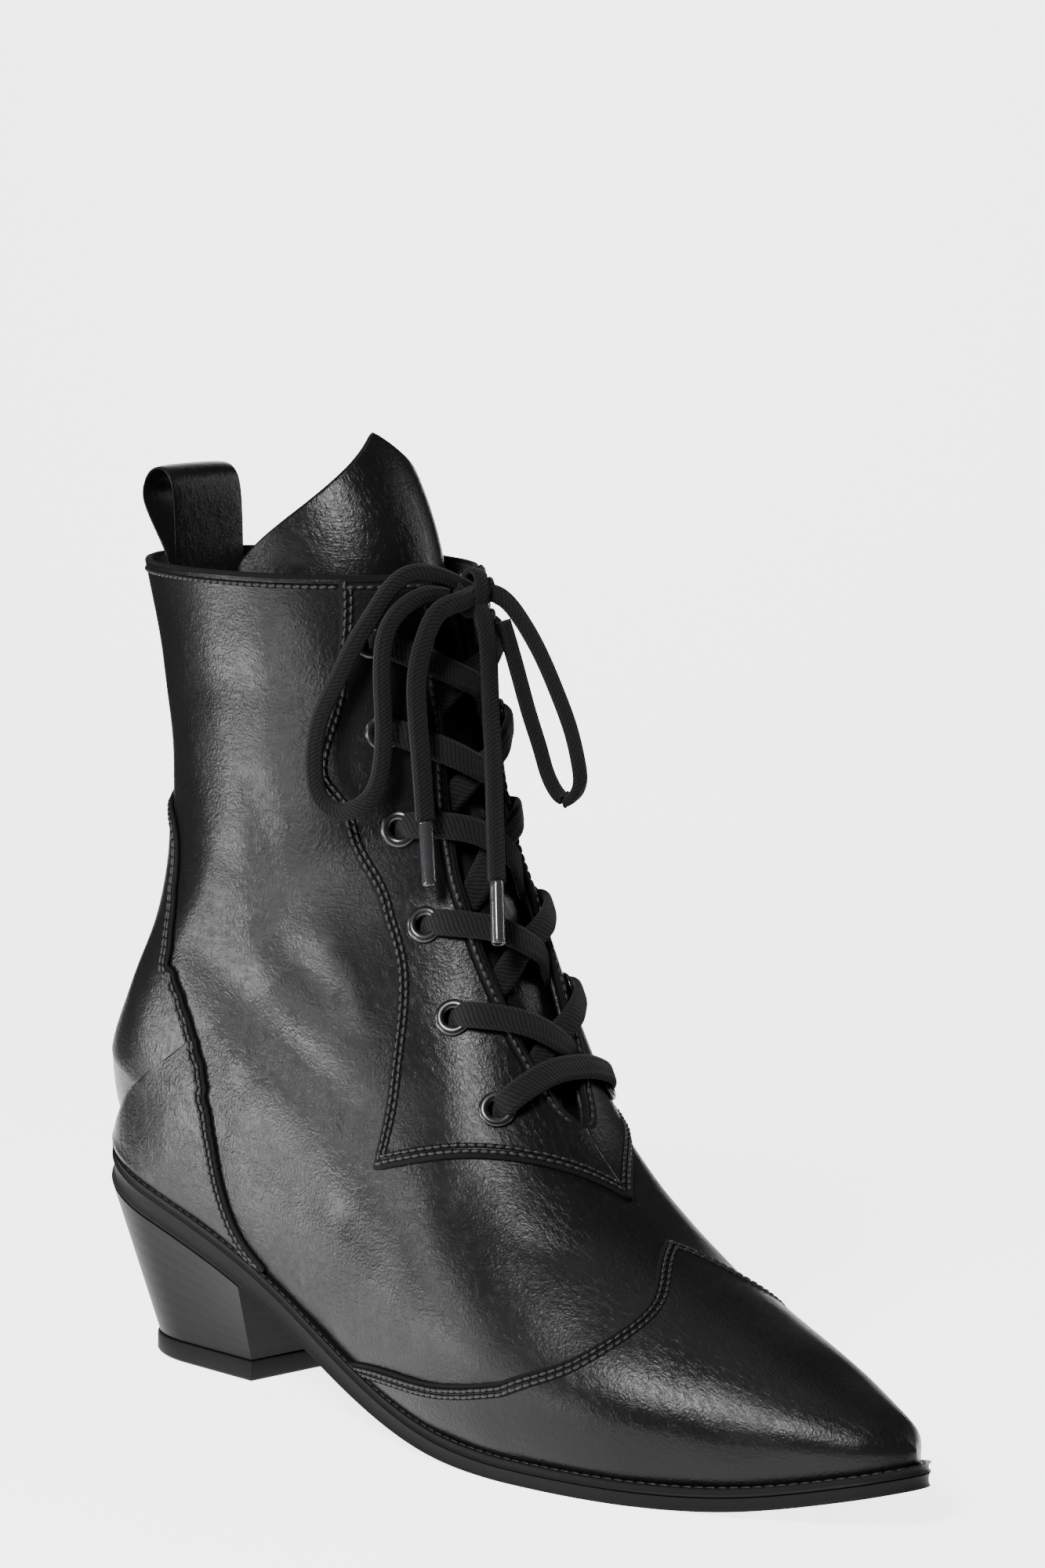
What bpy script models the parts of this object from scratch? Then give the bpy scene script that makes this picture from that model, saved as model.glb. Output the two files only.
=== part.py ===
# Lace up ankle boot, right foot. Lengths are in millimetres until metres() turns them.
# s runs forward from the back of the sole, x is negative on the outer side, z is up.
# Toe towards -Y, outer side towards -X, floor at z = 0.
import bpy
import numpy as np
from math import pi

# Driving sizes
SOLE_LENGTH = 287.0
BALL_WIDTH = 90.0
HEEL_HEIGHT = 48.8
COLLAR_HEIGHT = 223.0
TONGUE_RISE = 36.0
PULL_LOOP_RISE = 24.0
PULL_LOOP_WIDTH = 25.0
PULL_LOOP_STRAP = 1.5
UPPER_WALL = 1.8
OVERLAY_THICKNESS = 1.2
TONGUE_THICKNESS = 1.8
INSOLE_THICKNESS = 2.4
WELT_THICKNESS = 2.2
OUTSOLE_FRONT = 3.5
OUTSOLE_BACK = 5.7
TOP_PIECE_HEIGHT = 5.6
TOP_PIECE_LIP = 0.5
EYELET_OUTER = 10.0
EYELET_HOLE = 5.0
EYELET_HEIGHT = 1.0
LACE_WIDTH = 5.6
LACE_THICKNESS = 2.4
AGLET_DIAMETER = 3.8
AGLET_LENGTH = 17.0
EYELET_ROWS = 6

# Clearances
JOIN_GAP = 0.3
SEAM_GAP = 0.4
COVER_GAP = 0.68
TONGUE_GAP = 1.4
INSOLE_MARGIN = 2.6

# Underside of the sole: place along the length, height as a share of HEEL_HEIGHT
SOLE_PROFILE = {
    "along": [-0.042, 0.0, 0.105, 0.209, 0.296, 0.376, 0.453, 0.530, 0.620, 0.746, 0.836, 0.913, 0.986],
    "height": [1.078, 1.0, 0.820, 0.639, 0.451, 0.266, 0.123, 0.033, 0.0, 0.0, 0.029, 0.119, 0.234],
}
# Feather line, where the upper meets the welt, before its ends are rounded:
# place along the length, outer and inner half width as shares of BALL_WIDTH
FEATHER = {
    "along": [-0.014, 0.052, 0.122, 0.209, 0.296, 0.383, 0.470, 0.557, 0.645,
              0.732, 0.808, 0.878, 0.927, 0.960],
    "outer": [-0.322, -0.329, -0.336, -0.347, -0.369, -0.407, -0.447, -0.471, -0.456,
              -0.394, -0.289, -0.176, -0.087, -0.022],
    "inner": [0.317, 0.316, 0.309, 0.298, 0.294, 0.311, 0.358, 0.417, 0.439,
              0.409, 0.333, 0.240, 0.160, 0.104],
}
HEEL_END = -0.014
TOE_END = 0.960
HEEL_ROUNDING = 0.108
TOE_ROUNDING = 0.0314
# Welt ledge beyond the feather line, shares of BALL_WIDTH
LEDGE = {
    "along": [-0.042, 0.139, 0.383, 0.592, 0.986],
    "width": [0.040, 0.031, 0.031, 0.044, 0.047],
}
# Stations of the upper, from the toe point (0) to the collar (1). Each is a plane across the foot.
# seat: where it stands on the feather line, from the heel's back (0) to the toe point (1)
# front, rise: top of the station, shares of SOLE_LENGTH and COLLAR_HEIGHT
# outer, inner: how far each side swells past the feather line, shares of BALL_WIDTH
# waist: share of the station's height at its widest; full_out, full_in: fullness of each shoulder
# ridge: sideways place of the top, a share of BALL_WIDTH
STATIONS = {
    "station": [0.0, 0.025, 0.07, 0.14, 0.24, 0.32, 0.39, 0.45, 0.50, 0.54, 0.57,
                0.60, 0.68, 0.76, 0.84, 0.92, 1.0],
    "seat": [1.0, 0.970, 0.927, 0.864, 0.775, 0.696, 0.603, 0.504, 0.398, 0.292, 0.196,
             0.0, 0.0, 0.0, 0.0, 0.0, 0.0],
    "front": [0.962, 0.946, 0.908, 0.838, 0.742, 0.664, 0.594, 0.538, 0.500, 0.472, 0.451,
              0.434, 0.411, 0.394, 0.381, 0.372, 0.366],
    "rise": [0.088, 0.1045, 0.1265, 0.164, 0.216, 0.2645, 0.3295, 0.408, 0.493, 0.565, 0.621,
             0.675, 0.7535, 0.8275, 0.8925, 0.9485, 1.0],
    "outer": [0.004, 0.009, 0.013, 0.022, 0.033, 0.038, 0.036, 0.031, 0.027, 0.027, 0.029,
              0.031, 0.027, 0.025, 0.038, 0.058, 0.081],
    "inner": [0.004, 0.001, 0.003, 0.011, 0.018, 0.024, 0.033, 0.040, 0.049, 0.053, 0.051,
              0.047, 0.038, 0.036, 0.044, 0.058, 0.076],
    "waist": [0.50, 0.45, 0.40, 0.36, 0.34, 0.33, 0.32, 0.31, 0.30, 0.30, 0.29,
              0.28, 0.32, 0.43, 0.47, 0.48, 0.48],
    "full_out": [2.0, 2.0, 2.0, 1.9, 1.8, 1.75, 1.75, 1.75, 1.8, 1.85, 1.9,
                 2.0, 2.1, 2.2, 2.2, 2.2, 2.1],
    "full_in": [2.0, 2.0, 2.0, 1.9, 1.7, 1.75, 1.95, 2.3, 2.6, 2.6, 2.6,
                2.5, 2.5, 2.5, 2.5, 2.4, 2.2],
    "ridge": [0.041, 0.044, 0.040, 0.029, 0.016, 0.007, 0.004, 0.008, 0.018, 0.023, 0.025,
              0.023, 0.019, 0.015, 0.011, 0.009, 0.008],
}
HEEL_STATION = 0.60
# Back seam above the heel seat: station, place along the length, height as a share of COLLAR_HEIGHT
BACK_SEAM = {
    "station": [0.64, 0.68, 0.76, 0.84, 0.92, 1.0],
    "along": [-0.0293, -0.0237, 0.0251, 0.0446, 0.0334, 0.0035],
    "height": [0.305, 0.3677, 0.5112, 0.6682, 0.8251, 0.980],
}
# Half width of the throat opening against the station, shares of BALL_WIDTH
THROAT = {
    "station": [0.424, 0.440, 0.465, 0.50, 0.55, 0.60, 0.70, 0.80, 0.92, 1.0],
    "half": [0.0, 0.042, 0.074, 0.102, 0.115, 0.113, 0.100, 0.087, 0.077, 0.077],
}
# Outlines of the overlays. sweep is the place on a side: 0 at the feather line, or at the back seam
# above the heel seat, 1 at the widest point, 2 at the ridge of the front.
TOE_CAP_EDGE = {
    "sweep": [0.0, 0.205, 0.489, 0.689, 0.925, 1.105, 1.232, 1.37, 1.54, 1.70, 1.85, 2.0],
    "station": [0.478, 0.471, 0.448, 0.412, 0.368, 0.332, 0.302, 0.281, 0.268, 0.273, 0.297, 0.316],
}
EYESTAY_EDGE = {
    "station": [0.361, 0.390, 0.436, 0.475, 0.505, 0.519, 0.531, 0.553, 0.592, 0.630, 0.687, 0.725,
                0.775, 0.830, 0.886, 0.932, 1.0],
    "sweep": [2.0, 1.872, 1.639, 1.422, 1.223, 1.333, 1.393, 1.487, 1.566, 1.554, 1.50, 1.45,
              1.346, 1.40, 1.461, 1.497, 1.528],
}
COUNTER_EDGE = {
    "station": [0.530, 0.540, 0.551, 0.557, 0.571, 0.578, 0.587, 0.612, 0.67, 0.732, 0.76,
                0.795, 0.820, 0.850, 0.866],
    "sweep": [0.24, 0.32, 0.43, 0.52, 0.76, 0.94, 1.055, 1.09, 0.96, 0.78, 0.70,
              0.60, 0.58, 0.30, 0.05],
}
# Tongue inside the shaft: how far it stands back from the lining, a share of SOLE_LENGTH, and the
# sweep of its side edges
TONGUE = {
    "station": [0.40, 0.46, 0.53, 0.60, 0.70, 0.80, 0.90, 1.0],
    "back": [0.0, 0.0, 0.0, 0.001, 0.004, 0.009, 0.015, 0.021],
    "edge": [1.72, 1.56, 1.46, 1.38, 1.30, 1.21, 1.12, 1.04],
}
TONGUE_LEAN = 0.54
# Heel block: front of its top and of its bottom, back of its bottom, half width of its bottom
HEEL_BREAST_TOP = 0.230
HEEL_BREAST_BOTTOM = 0.2125
HEEL_BACK_BOTTOM = 0.0355
HEEL_BOTTOM_HALF = 0.262
# Pull loop in side view: place ahead of the collar's back point and height above it, shares of
# PULL_LOOP_RISE
PULL_LOOP = {
    "ahead": [0.40, 0.37, 0.20, 0.01, -0.075, 0.01, 0.19, 0.37, 0.455, 0.495, 0.525],
    "up": [-0.42, -0.06, 0.22, 0.48, 0.70, 0.92, 1.00, 0.90, 0.60, 0.06, -0.42],
}
# Bow: points of each free cord from the knot outwards, in millimetres (x, s, z)
KNOT_CENTRE = (2.5, 113.0, 219.0)
KNOT_HALF_SIZE = (8.0, 4.5, 6.5)
BOW = {
    "lace_loop_lateral": [
        (-5.9, 112.6, 223.0), (-12.0, 111.5, 225.0), (-17.5, 109.5, 225.0), (-22.0, 107.5, 221.5),
        (-25.5, 105.0, 215.0), (-29.0, 101.5, 206.5), (-31.5, 98.0, 197.0), (-33.5, 94.5, 188.0),
        (-34.0, 92.5, 179.5), (-33.5, 92.0, 171.0), (-32.5, 93.5, 165.0), (-30.5, 97.5, 162.0),
        (-28.0, 103.0, 163.5), (-26.0, 106.5, 167.5), (-25.0, 108.5, 175.0), (-24.5, 108.5, 184.5),
        (-25.5, 108.7, 195.0), (-26.0, 109.0, 204.0), (-24.0, 109.0, 211.5), (-18.5, 110.5, 217.5),
        (-11.5, 111.8, 219.5), (-6.2, 112.5, 218.6)],
    "lace_loop_medial": [
        (9.9, 116.2, 217.7), (14.0, 120.0, 211.5), (17.5, 124.0, 202.5), (20.0, 128.0, 192.5),
        (22.0, 131.0, 183.5), (23.0, 133.5, 174.0), (23.5, 133.0, 167.0), (23.0, 129.0, 164.0),
        (21.5, 125.5, 167.5), (20.0, 122.5, 176.0), (18.0, 120.0, 185.5), (15.5, 118.5, 195.0),
        (13.0, 117.0, 204.5), (11.5, 115.5, 211.0)],
    "lace_end_lateral": [
        (-5.2, 116.1, 217.6), (-12.0, 115.5, 215.5), (-16.0, 114.5, 208.5), (-18.0, 113.8, 198.5),
        (-18.5, 114.8, 188.5), (-18.5, 116.3, 178.5), (-18.5, 117.8, 168.0), (-18.8, 119.0, 161.0)],
    "lace_end_medial": [
        (2.7, 117.0, 212.7), (4.8, 117.5, 200.5), (3.0, 120.5, 187.0), (0.0, 124.7, 176.5),
        (-1.8, 127.3, 166.0), (-4.5, 130.8, 156.0), (-7.5, 134.6, 146.0)],
}
# Eyelets from the lowest row up: station and sweep, the same on both sides
EYELETS = {
    "station": [0.466, 0.528, 0.579, 0.666, 0.781, 0.906],
    "sweep": [1.666, 1.625, 1.655, 1.655, 1.610, 1.612],
}


def spline(table, column, at):
    """Smooth curve through one column of a table, bending evenly through every row."""
    xs = np.array(table[next(iter(table))], float)
    ys = np.array(table[column], float)
    at = np.clip(np.asarray(at, float), xs[0], xs[-1])
    step = np.diff(xs)
    count = len(xs)
    matrix = np.zeros((count, count))
    right = np.zeros(count)
    for i in range(1, count - 1):
        matrix[i, i - 1:i + 2] = [step[i - 1], 2 * (step[i - 1] + step[i]), step[i]]
        right[i] = 6 * ((ys[i + 1] - ys[i]) / step[i] - (ys[i] - ys[i - 1]) / step[i - 1])
    matrix[0, :2] = [1, -1]
    matrix[-1, -2:] = [-1, 1]
    bend = np.linalg.solve(matrix, right)
    k = np.clip(np.searchsorted(xs, at, side="right") - 1, 0, count - 2)
    after = at - xs[k]
    before = xs[k + 1] - at
    cubic = (bend[k] * before ** 3 + bend[k + 1] * after ** 3) / (6 * step[k])
    low = (ys[k] / step[k] - bend[k] * step[k] / 6) * before
    high = (ys[k + 1] / step[k] - bend[k + 1] * step[k] / 6) * after
    return cubic + low + high


def straight(table, column, at):
    """Straight lines between the rows of a table."""
    return np.interp(at, table[next(iter(table))], table[column])


def underside(s):
    """Underside of the sole; its flat tread rests on the floor."""
    return np.maximum(HEEL_HEIGHT * spline(SOLE_PROFILE, "height", np.asarray(s, float) / SOLE_LENGTH), 0)


def outsole_thickness(s):
    share = np.clip((np.asarray(s, float) / SOLE_LENGTH - 0.25) / 0.40, 0, 1)
    share = share * share * (3 - 2 * share)
    return OUTSOLE_BACK + (OUTSOLE_FRONT - OUTSOLE_BACK) * share


def welt_base(s):
    return underside(s) + outsole_thickness(s) + JOIN_GAP


def feather_height(s):
    return welt_base(s) + WELT_THICKNESS + JOIN_GAP


def heel_end(inset=0.0):
    return HEEL_END * SOLE_LENGTH + inset


def toe_end(inset=0.0):
    return TOE_END * SOLE_LENGTH - inset


def feather_sides(s, inset=0.0):
    """Centre line and half widths of the feather line before its ends are rounded."""
    along = np.asarray(s, float) / SOLE_LENGTH
    outer = BALL_WIDTH * spline(FEATHER, "outer", along) + inset
    inner = BALL_WIDTH * spline(FEATHER, "inner", along) - inset
    return (outer + inner) / 2, (inner - outer) / 2


def heel_round(s, inset=0.0):
    share = np.clip((np.asarray(s, float) - heel_end(inset)) / (HEEL_ROUNDING * SOLE_LENGTH - inset), 0, 1)
    return (1 - (1 - share) ** 2.1) ** (1 / 2.1)


def toe_round(s, inset=0.0):
    share = np.clip((toe_end(inset) - np.asarray(s, float)) / (TOE_ROUNDING * SOLE_LENGTH), 0, 1)
    return (1 - (1 - share) ** 2) ** 0.5


def feather_walk(seat, inset=0.0):
    """Place along the length for a share of the way round the feather line, heel to toe."""
    heel = HEEL_ROUNDING * SOLE_LENGTH
    toe = TOE_ROUNDING * SOLE_LENGTH
    middle = toe_end(inset) - heel_end(inset) - heel - toe
    total = heel * pi / 2 + middle + toe * pi / 2
    walked = np.asarray(seat, float) * total
    at_heel = heel_end(inset) + heel * (1 - np.cos(np.clip(walked / heel, 0, pi / 2)))
    between = heel_end(inset) + heel + walked - heel * pi / 2
    at_toe = toe_end(inset) - toe * (1 - np.cos(np.clip((total - walked) / toe, 0, pi / 2)))
    place = np.where(walked < heel * pi / 2, at_heel, between)
    return np.where(total - walked < toe * pi / 2, at_toe, place)


def seat_of(station):
    open_part = {k: [v for v, q in zip(STATIONS[k], STATIONS["station"]) if q <= HEEL_STATION]
                 for k in ("station", "seat")}
    xs = np.array(open_part["station"])
    ys = np.array(open_part["seat"])
    slope = np.diff(ys) / np.diff(xs)
    width = np.diff(xs)
    lean = np.zeros(len(xs))
    for i in range(1, len(xs) - 1):
        first = 2 * width[i] + width[i - 1]
        second = width[i] + 2 * width[i - 1]
        lean[i] = (first + second) / (first / slope[i - 1] + second / slope[i])
    lean[0] = slope[0]
    lean[-1] = slope[-1]
    at = np.clip(station, xs[0], xs[-1])
    k = int(np.clip(np.searchsorted(xs, at, side="right") - 1, 0, len(xs) - 2))
    t = (at - xs[k]) / width[k]
    a = (1 + 2 * t) * (1 - t) ** 2 * ys[k] + t * (1 - t) ** 2 * width[k] * lean[k]
    b = t * t * (3 - 2 * t) * ys[k + 1] + t * t * (t - 1) * width[k] * lean[k + 1]
    return float(np.clip(a + b, 0, 1))


def column(name, station):
    return float(spline(STATIONS, name, station))


def front_line(station, inset=0.0):
    """Top of a station in side view, moved square to the front line by the inset."""
    s = SOLE_LENGTH * column("front", station)
    z = COLLAR_HEIGHT * column("rise", station)
    low = max(station - 0.004, 0)
    high = min(station + 0.004, 1)
    ds = SOLE_LENGTH * (column("front", high) - column("front", low))
    dz = COLLAR_HEIGHT * (column("rise", high) - column("rise", low))
    length = (ds * ds + dz * dz) ** 0.5
    return s - inset * dz / length, z + inset * ds / length


def back_line(station, inset=0.0):
    """Bottom of a station: on the feather line, or on the back seam above the heel seat."""
    seat_s = heel_end()
    seam = {
        "station": [HEEL_STATION] + BACK_SEAM["station"],
        "s": [seat_s] + [v * SOLE_LENGTH for v in BACK_SEAM["along"]],
        "z": [float(feather_height(seat_s))] + [v * COLLAR_HEIGHT for v in BACK_SEAM["height"]],
    }
    if station > HEEL_STATION:
        fade = min((station - HEEL_STATION) / 0.04, 1)
        lift = max(inset, 0) * 0.9 * (1 - fade)
        return float(spline(seam, "s", station)) + inset, float(spline(seam, "z", station)) + lift
    s = float(feather_walk(seat_of(station), inset))
    return s, float(feather_height(s)) + max(inset, 0) * 0.9


def skin(station, sweep, side, inset=0.0):
    """Point of the upper's outer face, or of a face that lies inset below it."""
    bs, bz = back_line(station, inset)
    fs, fz = front_line(station, inset)
    seat_s = min(bs, toe_end(inset)) if station <= HEEL_STATION else heel_end(inset)
    centre, half = feather_sides(seat_s, inset)
    toe = float(toe_round(seat_s, inset)) if station <= HEEL_STATION else 1.0
    heel = float(heel_round(seat_s, inset)) if station < HEEL_STATION else 0.0
    swell = BALL_WIDTH * column("outer" if side < 0 else "inner", station)
    full = column("full_out" if side < 0 else "full_in", station)
    waist = column("waist", station)
    middle = float(centre) if station < HEEL_STATION else 0.0
    ridge = float(centre) * (1 - toe) + BALL_WIDTH * column("ridge", station) * toe
    seam = middle + side * float(half) * heel * toe if station < HEEL_STATION else 0.0
    wide = float(centre) + side * (float(half) + swell) * toe
    sweep = np.asarray(sweep, float)
    low = np.clip(sweep, 0, 1) * pi / 2
    high = np.clip(sweep - 1, 0, 1) * pi / 2
    share_low = waist * (1 - np.cos(low))
    share_high = waist + (1 - waist) * np.sin(high) ** (2 / full)
    x_low = seam + (wide - seam) * np.sin(low)
    x_high = ridge + (wide - ridge) * np.cos(high) ** (2 / full)
    share = np.where(sweep < 1, share_low, share_high)
    x = np.where(sweep < 1, x_low, x_high)
    return np.stack([x, bs + (fs - bs) * share, bz + (fz - bz) * share], -1)


def throat_sweep(station, side, least=0.0, inset=0.0):
    """Sweep at which a side stops at the throat's edge."""
    half = max(BALL_WIDTH * float(straight(THROAT, "half", station)), least)
    if half <= 0:
        return 2.0
    full = column("full_out" if side < 0 else "full_in", station)
    ridge = skin(station, 2.0, side, inset)[0]
    wide = skin(station, 1.0, side, inset)[0]
    share = min(half / abs(wide - ridge), 1)
    return 1 + float(np.arccos(share ** (full / 2))) / (pi / 2)


CENTRE_S = 0.5 * SOLE_LENGTH - 0.0295 * SOLE_LENGTH
CENTRE_X = -0.0204 * BALL_WIDTH


def metres(p):
    p = np.asarray(p, float)
    return np.stack([p[..., 0] - CENTRE_X, CENTRE_S - p[..., 1], p[..., 2]], -1) * 0.001


def material(name, colour, roughness, metallic=0.0):
    made = bpy.data.materials.new(name)
    made.use_nodes = True
    shader = made.node_tree.nodes["Principled BSDF"]
    shader.inputs["Base Color"].default_value = (*colour, 1)
    shader.inputs["Roughness"].default_value = roughness
    shader.inputs["Metallic"].default_value = metallic
    made.diffuse_color = (*colour, 1)
    return made


def solid(name, points, faces, look, smooth=True):
    """One named closed object from points in millimetres; its faces are turned outwards."""
    mesh = bpy.data.meshes.new(name)
    mesh.from_pydata([tuple(p) for p in metres(points)], [], [tuple(f) for f in faces])
    mesh.validate()
    made = bpy.data.objects.new(name, mesh)
    bpy.context.scene.collection.objects.link(made)
    mesh.materials.append(look)
    corners = np.array([v.co for v in mesh.vertices])
    volume = 0.0
    for face in mesh.polygons:
        ring = corners[list(face.vertices)]
        for i in range(1, len(ring) - 1):
            volume += float(np.dot(ring[0], np.cross(ring[i], ring[i + 1])))
    if volume < 0:
        mesh.flip_normals()
    for face in mesh.polygons:
        face.use_smooth = smooth
    return made


def shell(name, grids, look):
    """Closed skin between two faces. Each grid is a pair of point arrays, outer face and inner face;
    points that two grids share are joined, and every open edge is closed with a wall."""
    outer = []
    inner = []
    faces = []
    for first, second, flip in grids:
        rows, columns = first.shape[:2]
        index = np.zeros((rows, columns), int)
        for i in range(rows):
            for j in range(columns):
                apart = np.linalg.norm(np.array(outer) - first[i, j], axis=1) if outer else np.array([1.0])
                if apart.min() < 0.01:
                    index[i, j] = int(np.argmin(apart))
                    continue
                index[i, j] = len(outer)
                outer.append(first[i, j])
                inner.append(second[i, j])
        for i in range(rows - 1):
            for j in range(columns - 1):
                ring = [index[i, j], index[i + 1, j], index[i + 1, j + 1], index[i, j + 1]]
                ring = [v for k, v in enumerate(ring) if v != ring[k - 1]]
                if len(ring) > 2:
                    faces.append(ring[::-1] if flip else ring)
    count = len(outer)
    edges = {}
    for face in faces:
        for k, a in enumerate(face):
            b = face[(k + 1) % len(face)]
            edges[(a, b)] = True
    walls = [(b, a, a + count, b + count) for a, b in edges if (b, a) not in edges]
    back = [tuple(v + count for v in face[::-1]) for face in faces]
    return solid(name, np.array(outer + inner), [tuple(f) for f in faces] + back + walls, look)


def skin_grid(stations, sweeps, side, inset):
    return np.array([skin(q, np.asarray(t), side, inset) for q, t in zip(stations, sweeps)])


def patch(stations, sweeps, side, outer_inset, inner_inset):
    return (skin_grid(stations, sweeps, side, outer_inset),
            skin_grid(stations, sweeps, side, inner_inset), side > 0)


def plate(name, along, outer, inner, low, high, look, smooth=True):
    """Closed plate between two edges that run from heel to toe, each row a strip across."""
    count = len(along)
    points = []
    for x, z in ((outer, low), (inner, low), (inner, high), (outer, high)):
        points.extend(np.stack([x, along, z], -1))
    faces = []
    for i in range(count - 1):
        for k in range(4):
            a = k * count + i
            b = ((k + 1) % 4) * count + i
            faces.append((a, b, b + 1, a + 1))
    faces.append((0, 3 * count, 2 * count, count))
    faces.append((count - 1, 2 * count - 1, 3 * count - 1, 4 * count - 1))
    return solid(name, np.array(points), faces, look, smooth)


def edge_line(offset, count=64):
    """The feather line moved outwards by an offset that may vary, as two edges of equal rows."""
    s = feather_walk(np.linspace(0, 1, count))
    centre, half = feather_sides(s)
    half = half * heel_round(s) * toe_round(s)
    ring = np.concatenate([np.stack([centre - half, s], -1), np.stack([centre + half, s], -1)[::-1][1:-1]])
    ahead = np.roll(ring, -1, 0) - np.roll(ring, 1, 0)
    ahead /= np.linalg.norm(ahead, axis=1)[:, None]
    away = np.stack([-ahead[:, 1], ahead[:, 0]], -1)
    if np.sum((ring - ring.mean(0)) * away) < 0:
        away = -away
    moved = ring + away * np.asarray(offset(ring[:, 1]), float)[:, None]
    start = moved[0, 1]
    end = moved[count - 1, 1]
    share = (1 - np.cos(np.linspace(0, pi, count))) / 2
    rows = start + (end - start) * share
    rows[0] += 0.02
    rows[-1] -= 0.02
    outer_ring = moved[:count]
    inner_ring = np.concatenate([moved[:1], moved[count:][::-1], moved[count - 1:count]])
    outer = np.interp(rows, outer_ring[:, 1], outer_ring[:, 0])
    inner = np.interp(rows, inner_ring[:, 1], inner_ring[:, 0])
    return rows, outer, inner


def ledge(s):
    return BALL_WIDTH * spline(LEDGE, "width", np.asarray(s) / SOLE_LENGTH)


for old in list(bpy.data.objects):
    bpy.data.objects.remove(old)

LEATHER = material("leather_black", (0.018, 0.018, 0.019), 0.42)
LINING = material("lining_black", (0.030, 0.029, 0.028), 0.75)
RUBBER = material("rubber_black", (0.022, 0.022, 0.023), 0.62)
STACK = material("heel_stack", (0.040, 0.040, 0.041), 0.52)
LACE = material("lace_cotton", (0.012, 0.012, 0.013), 0.92)
METAL = material("eyelet_black", (0.020, 0.020, 0.021), 0.28, 0.6)
CLEAR = material("aglet_clear", (0.16, 0.16, 0.16), 0.18)



def ring_solid(name, rings, look, smooth=True):
    """Closed solid through rings of equal count; the two end rings are closed by strips across."""
    count = len(rings[0])
    points = np.concatenate(rings)
    faces = []
    for k in range(len(rings) - 1):
        for i in range(count):
            j = (i + 1) % count
            faces.append((k * count + i, k * count + j, (k + 1) * count + j, (k + 1) * count + i))
    for k in (0, len(rings) - 1):
        for i in range(count // 2):
            ring = [i, i + 1, count - 2 - i, count - 1 - i]
            ring = [v for n, v in enumerate(ring) if v not in ring[:n]]
            if len(ring) > 2:
                ring = [v + k * count for v in ring]
                faces.append(ring if k else ring[::-1])
    return solid(name, points, faces, look, smooth)


def frames(path):
    """Direction along a path at each point."""
    ahead = np.gradient(path, axis=0)
    return ahead / np.linalg.norm(ahead, axis=1)[:, None]


def strap(name, path, up, width, thickness, look, sides=6):
    """Flat lace swept along a path, its broad face turned towards up."""
    path = np.asarray(path, float)
    ahead = frames(path)
    up = np.asarray(up, float)
    up = up - ahead * np.sum(up * ahead, axis=1)[:, None]
    up /= np.linalg.norm(up, axis=1)[:, None]
    across = np.cross(ahead, up)
    turn = 2 * pi * np.arange(sides) / sides
    rings = []
    for p, a, n in zip(path, across, up):
        rings.append(p + np.outer(np.cos(turn), a) * width / 2 + np.outer(np.sin(turn), n) * thickness / 2)
    count = len(rings)
    faces = []
    for k in range(count - 1):
        for i in range(sides):
            j = (i + 1) % sides
            faces.append((k * sides + i, k * sides + j, (k + 1) * sides + j, (k + 1) * sides + i))
    faces.append(tuple(range(sides))[::-1])
    faces.append(tuple((count - 1) * sides + i for i in range(sides)))
    return solid(name, np.concatenate(rings), faces, look)


def skin_normal(station, sweep, side):
    here = skin(station, sweep, side)
    along = skin(min(station + 0.003, 1.0), sweep, side) - skin(max(station - 0.003, 0.0), sweep, side)
    across = skin(station, min(sweep + 0.01, 2.0), side) - skin(station, max(sweep - 0.01, 0.0), side)
    away = np.cross(along, across)
    away /= np.linalg.norm(away)
    deep = skin(station, sweep, side, 1.0) - here
    return -away if np.dot(away, deep) > 0 else away


# Stations close together where the seat turns round the heel
HEEL_STATIONS = np.linspace(0.574, HEEL_STATION, 7)
SHAFT_STATIONS = np.array([0.63, 0.67, 0.71, 0.75, 0.79, 0.825, 0.862, 0.90, 0.935, 0.97, 1.0])

# Upper: one hollow skin, open at the collar, the throat and underneath
rows = np.concatenate([[0.0, 0.015, 0.045, 0.090], np.arange(0.145, 0.35, 0.06), [0.385],
                       [0.424, 0.448, 0.475, 0.505, 0.535, 0.557], HEEL_STATIONS, SHAFT_STATIONS])
grids = []
for side in (-1, 1):
    spread = [np.linspace(0, 1, 13) * throat_sweep(q, side) for q in rows]
    grids.append(patch(rows, spread, side, 0.0, UPPER_WALL))
shell("upper", grids, LEATHER)

COVER = (-(COVER_GAP + OVERLAY_THICKNESS), -COVER_GAP)

# Toe cap, its winged back edge running down to the welt on both sides
sweeps = np.concatenate([[0.25], np.arange(2, 13) / 6])
grids = []
for side in (-1, 1):
    faces_pair = []
    for inset in COVER:
        grid = []
        for share in np.linspace(0, 1, 16) ** 1.10:
            edge = spline(TOE_CAP_EDGE, "station", sweeps)
            grid.append([skin(max(q * share, 0.0), t, side, inset) for q, t in zip(edge, sweeps)])
        faces_pair.append(np.array(grid))
    grids.append((faces_pair[0], faces_pair[1], side > 0))
shell("toe_cap", grids, LEATHER)

# Heel counter, joined round the back and open underneath
rows = np.concatenate([[0.535, 0.546, 0.557], HEEL_STATIONS, SHAFT_STATIONS[:6], [0.845, 0.862]])
grids = []
for side in (-1, 1):
    spread = []
    for q in rows:
        low = 0.22 * float(np.clip((HEEL_STATION - q) / 0.018, 0, 1))
        spread.append(low + (float(straight(COUNTER_EDGE, "sweep", q)) - low) * np.linspace(0, 1, 9))
    grids.append(patch(rows, spread, side, *COVER))
shell("heel_counter", grids, LEATHER)

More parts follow.
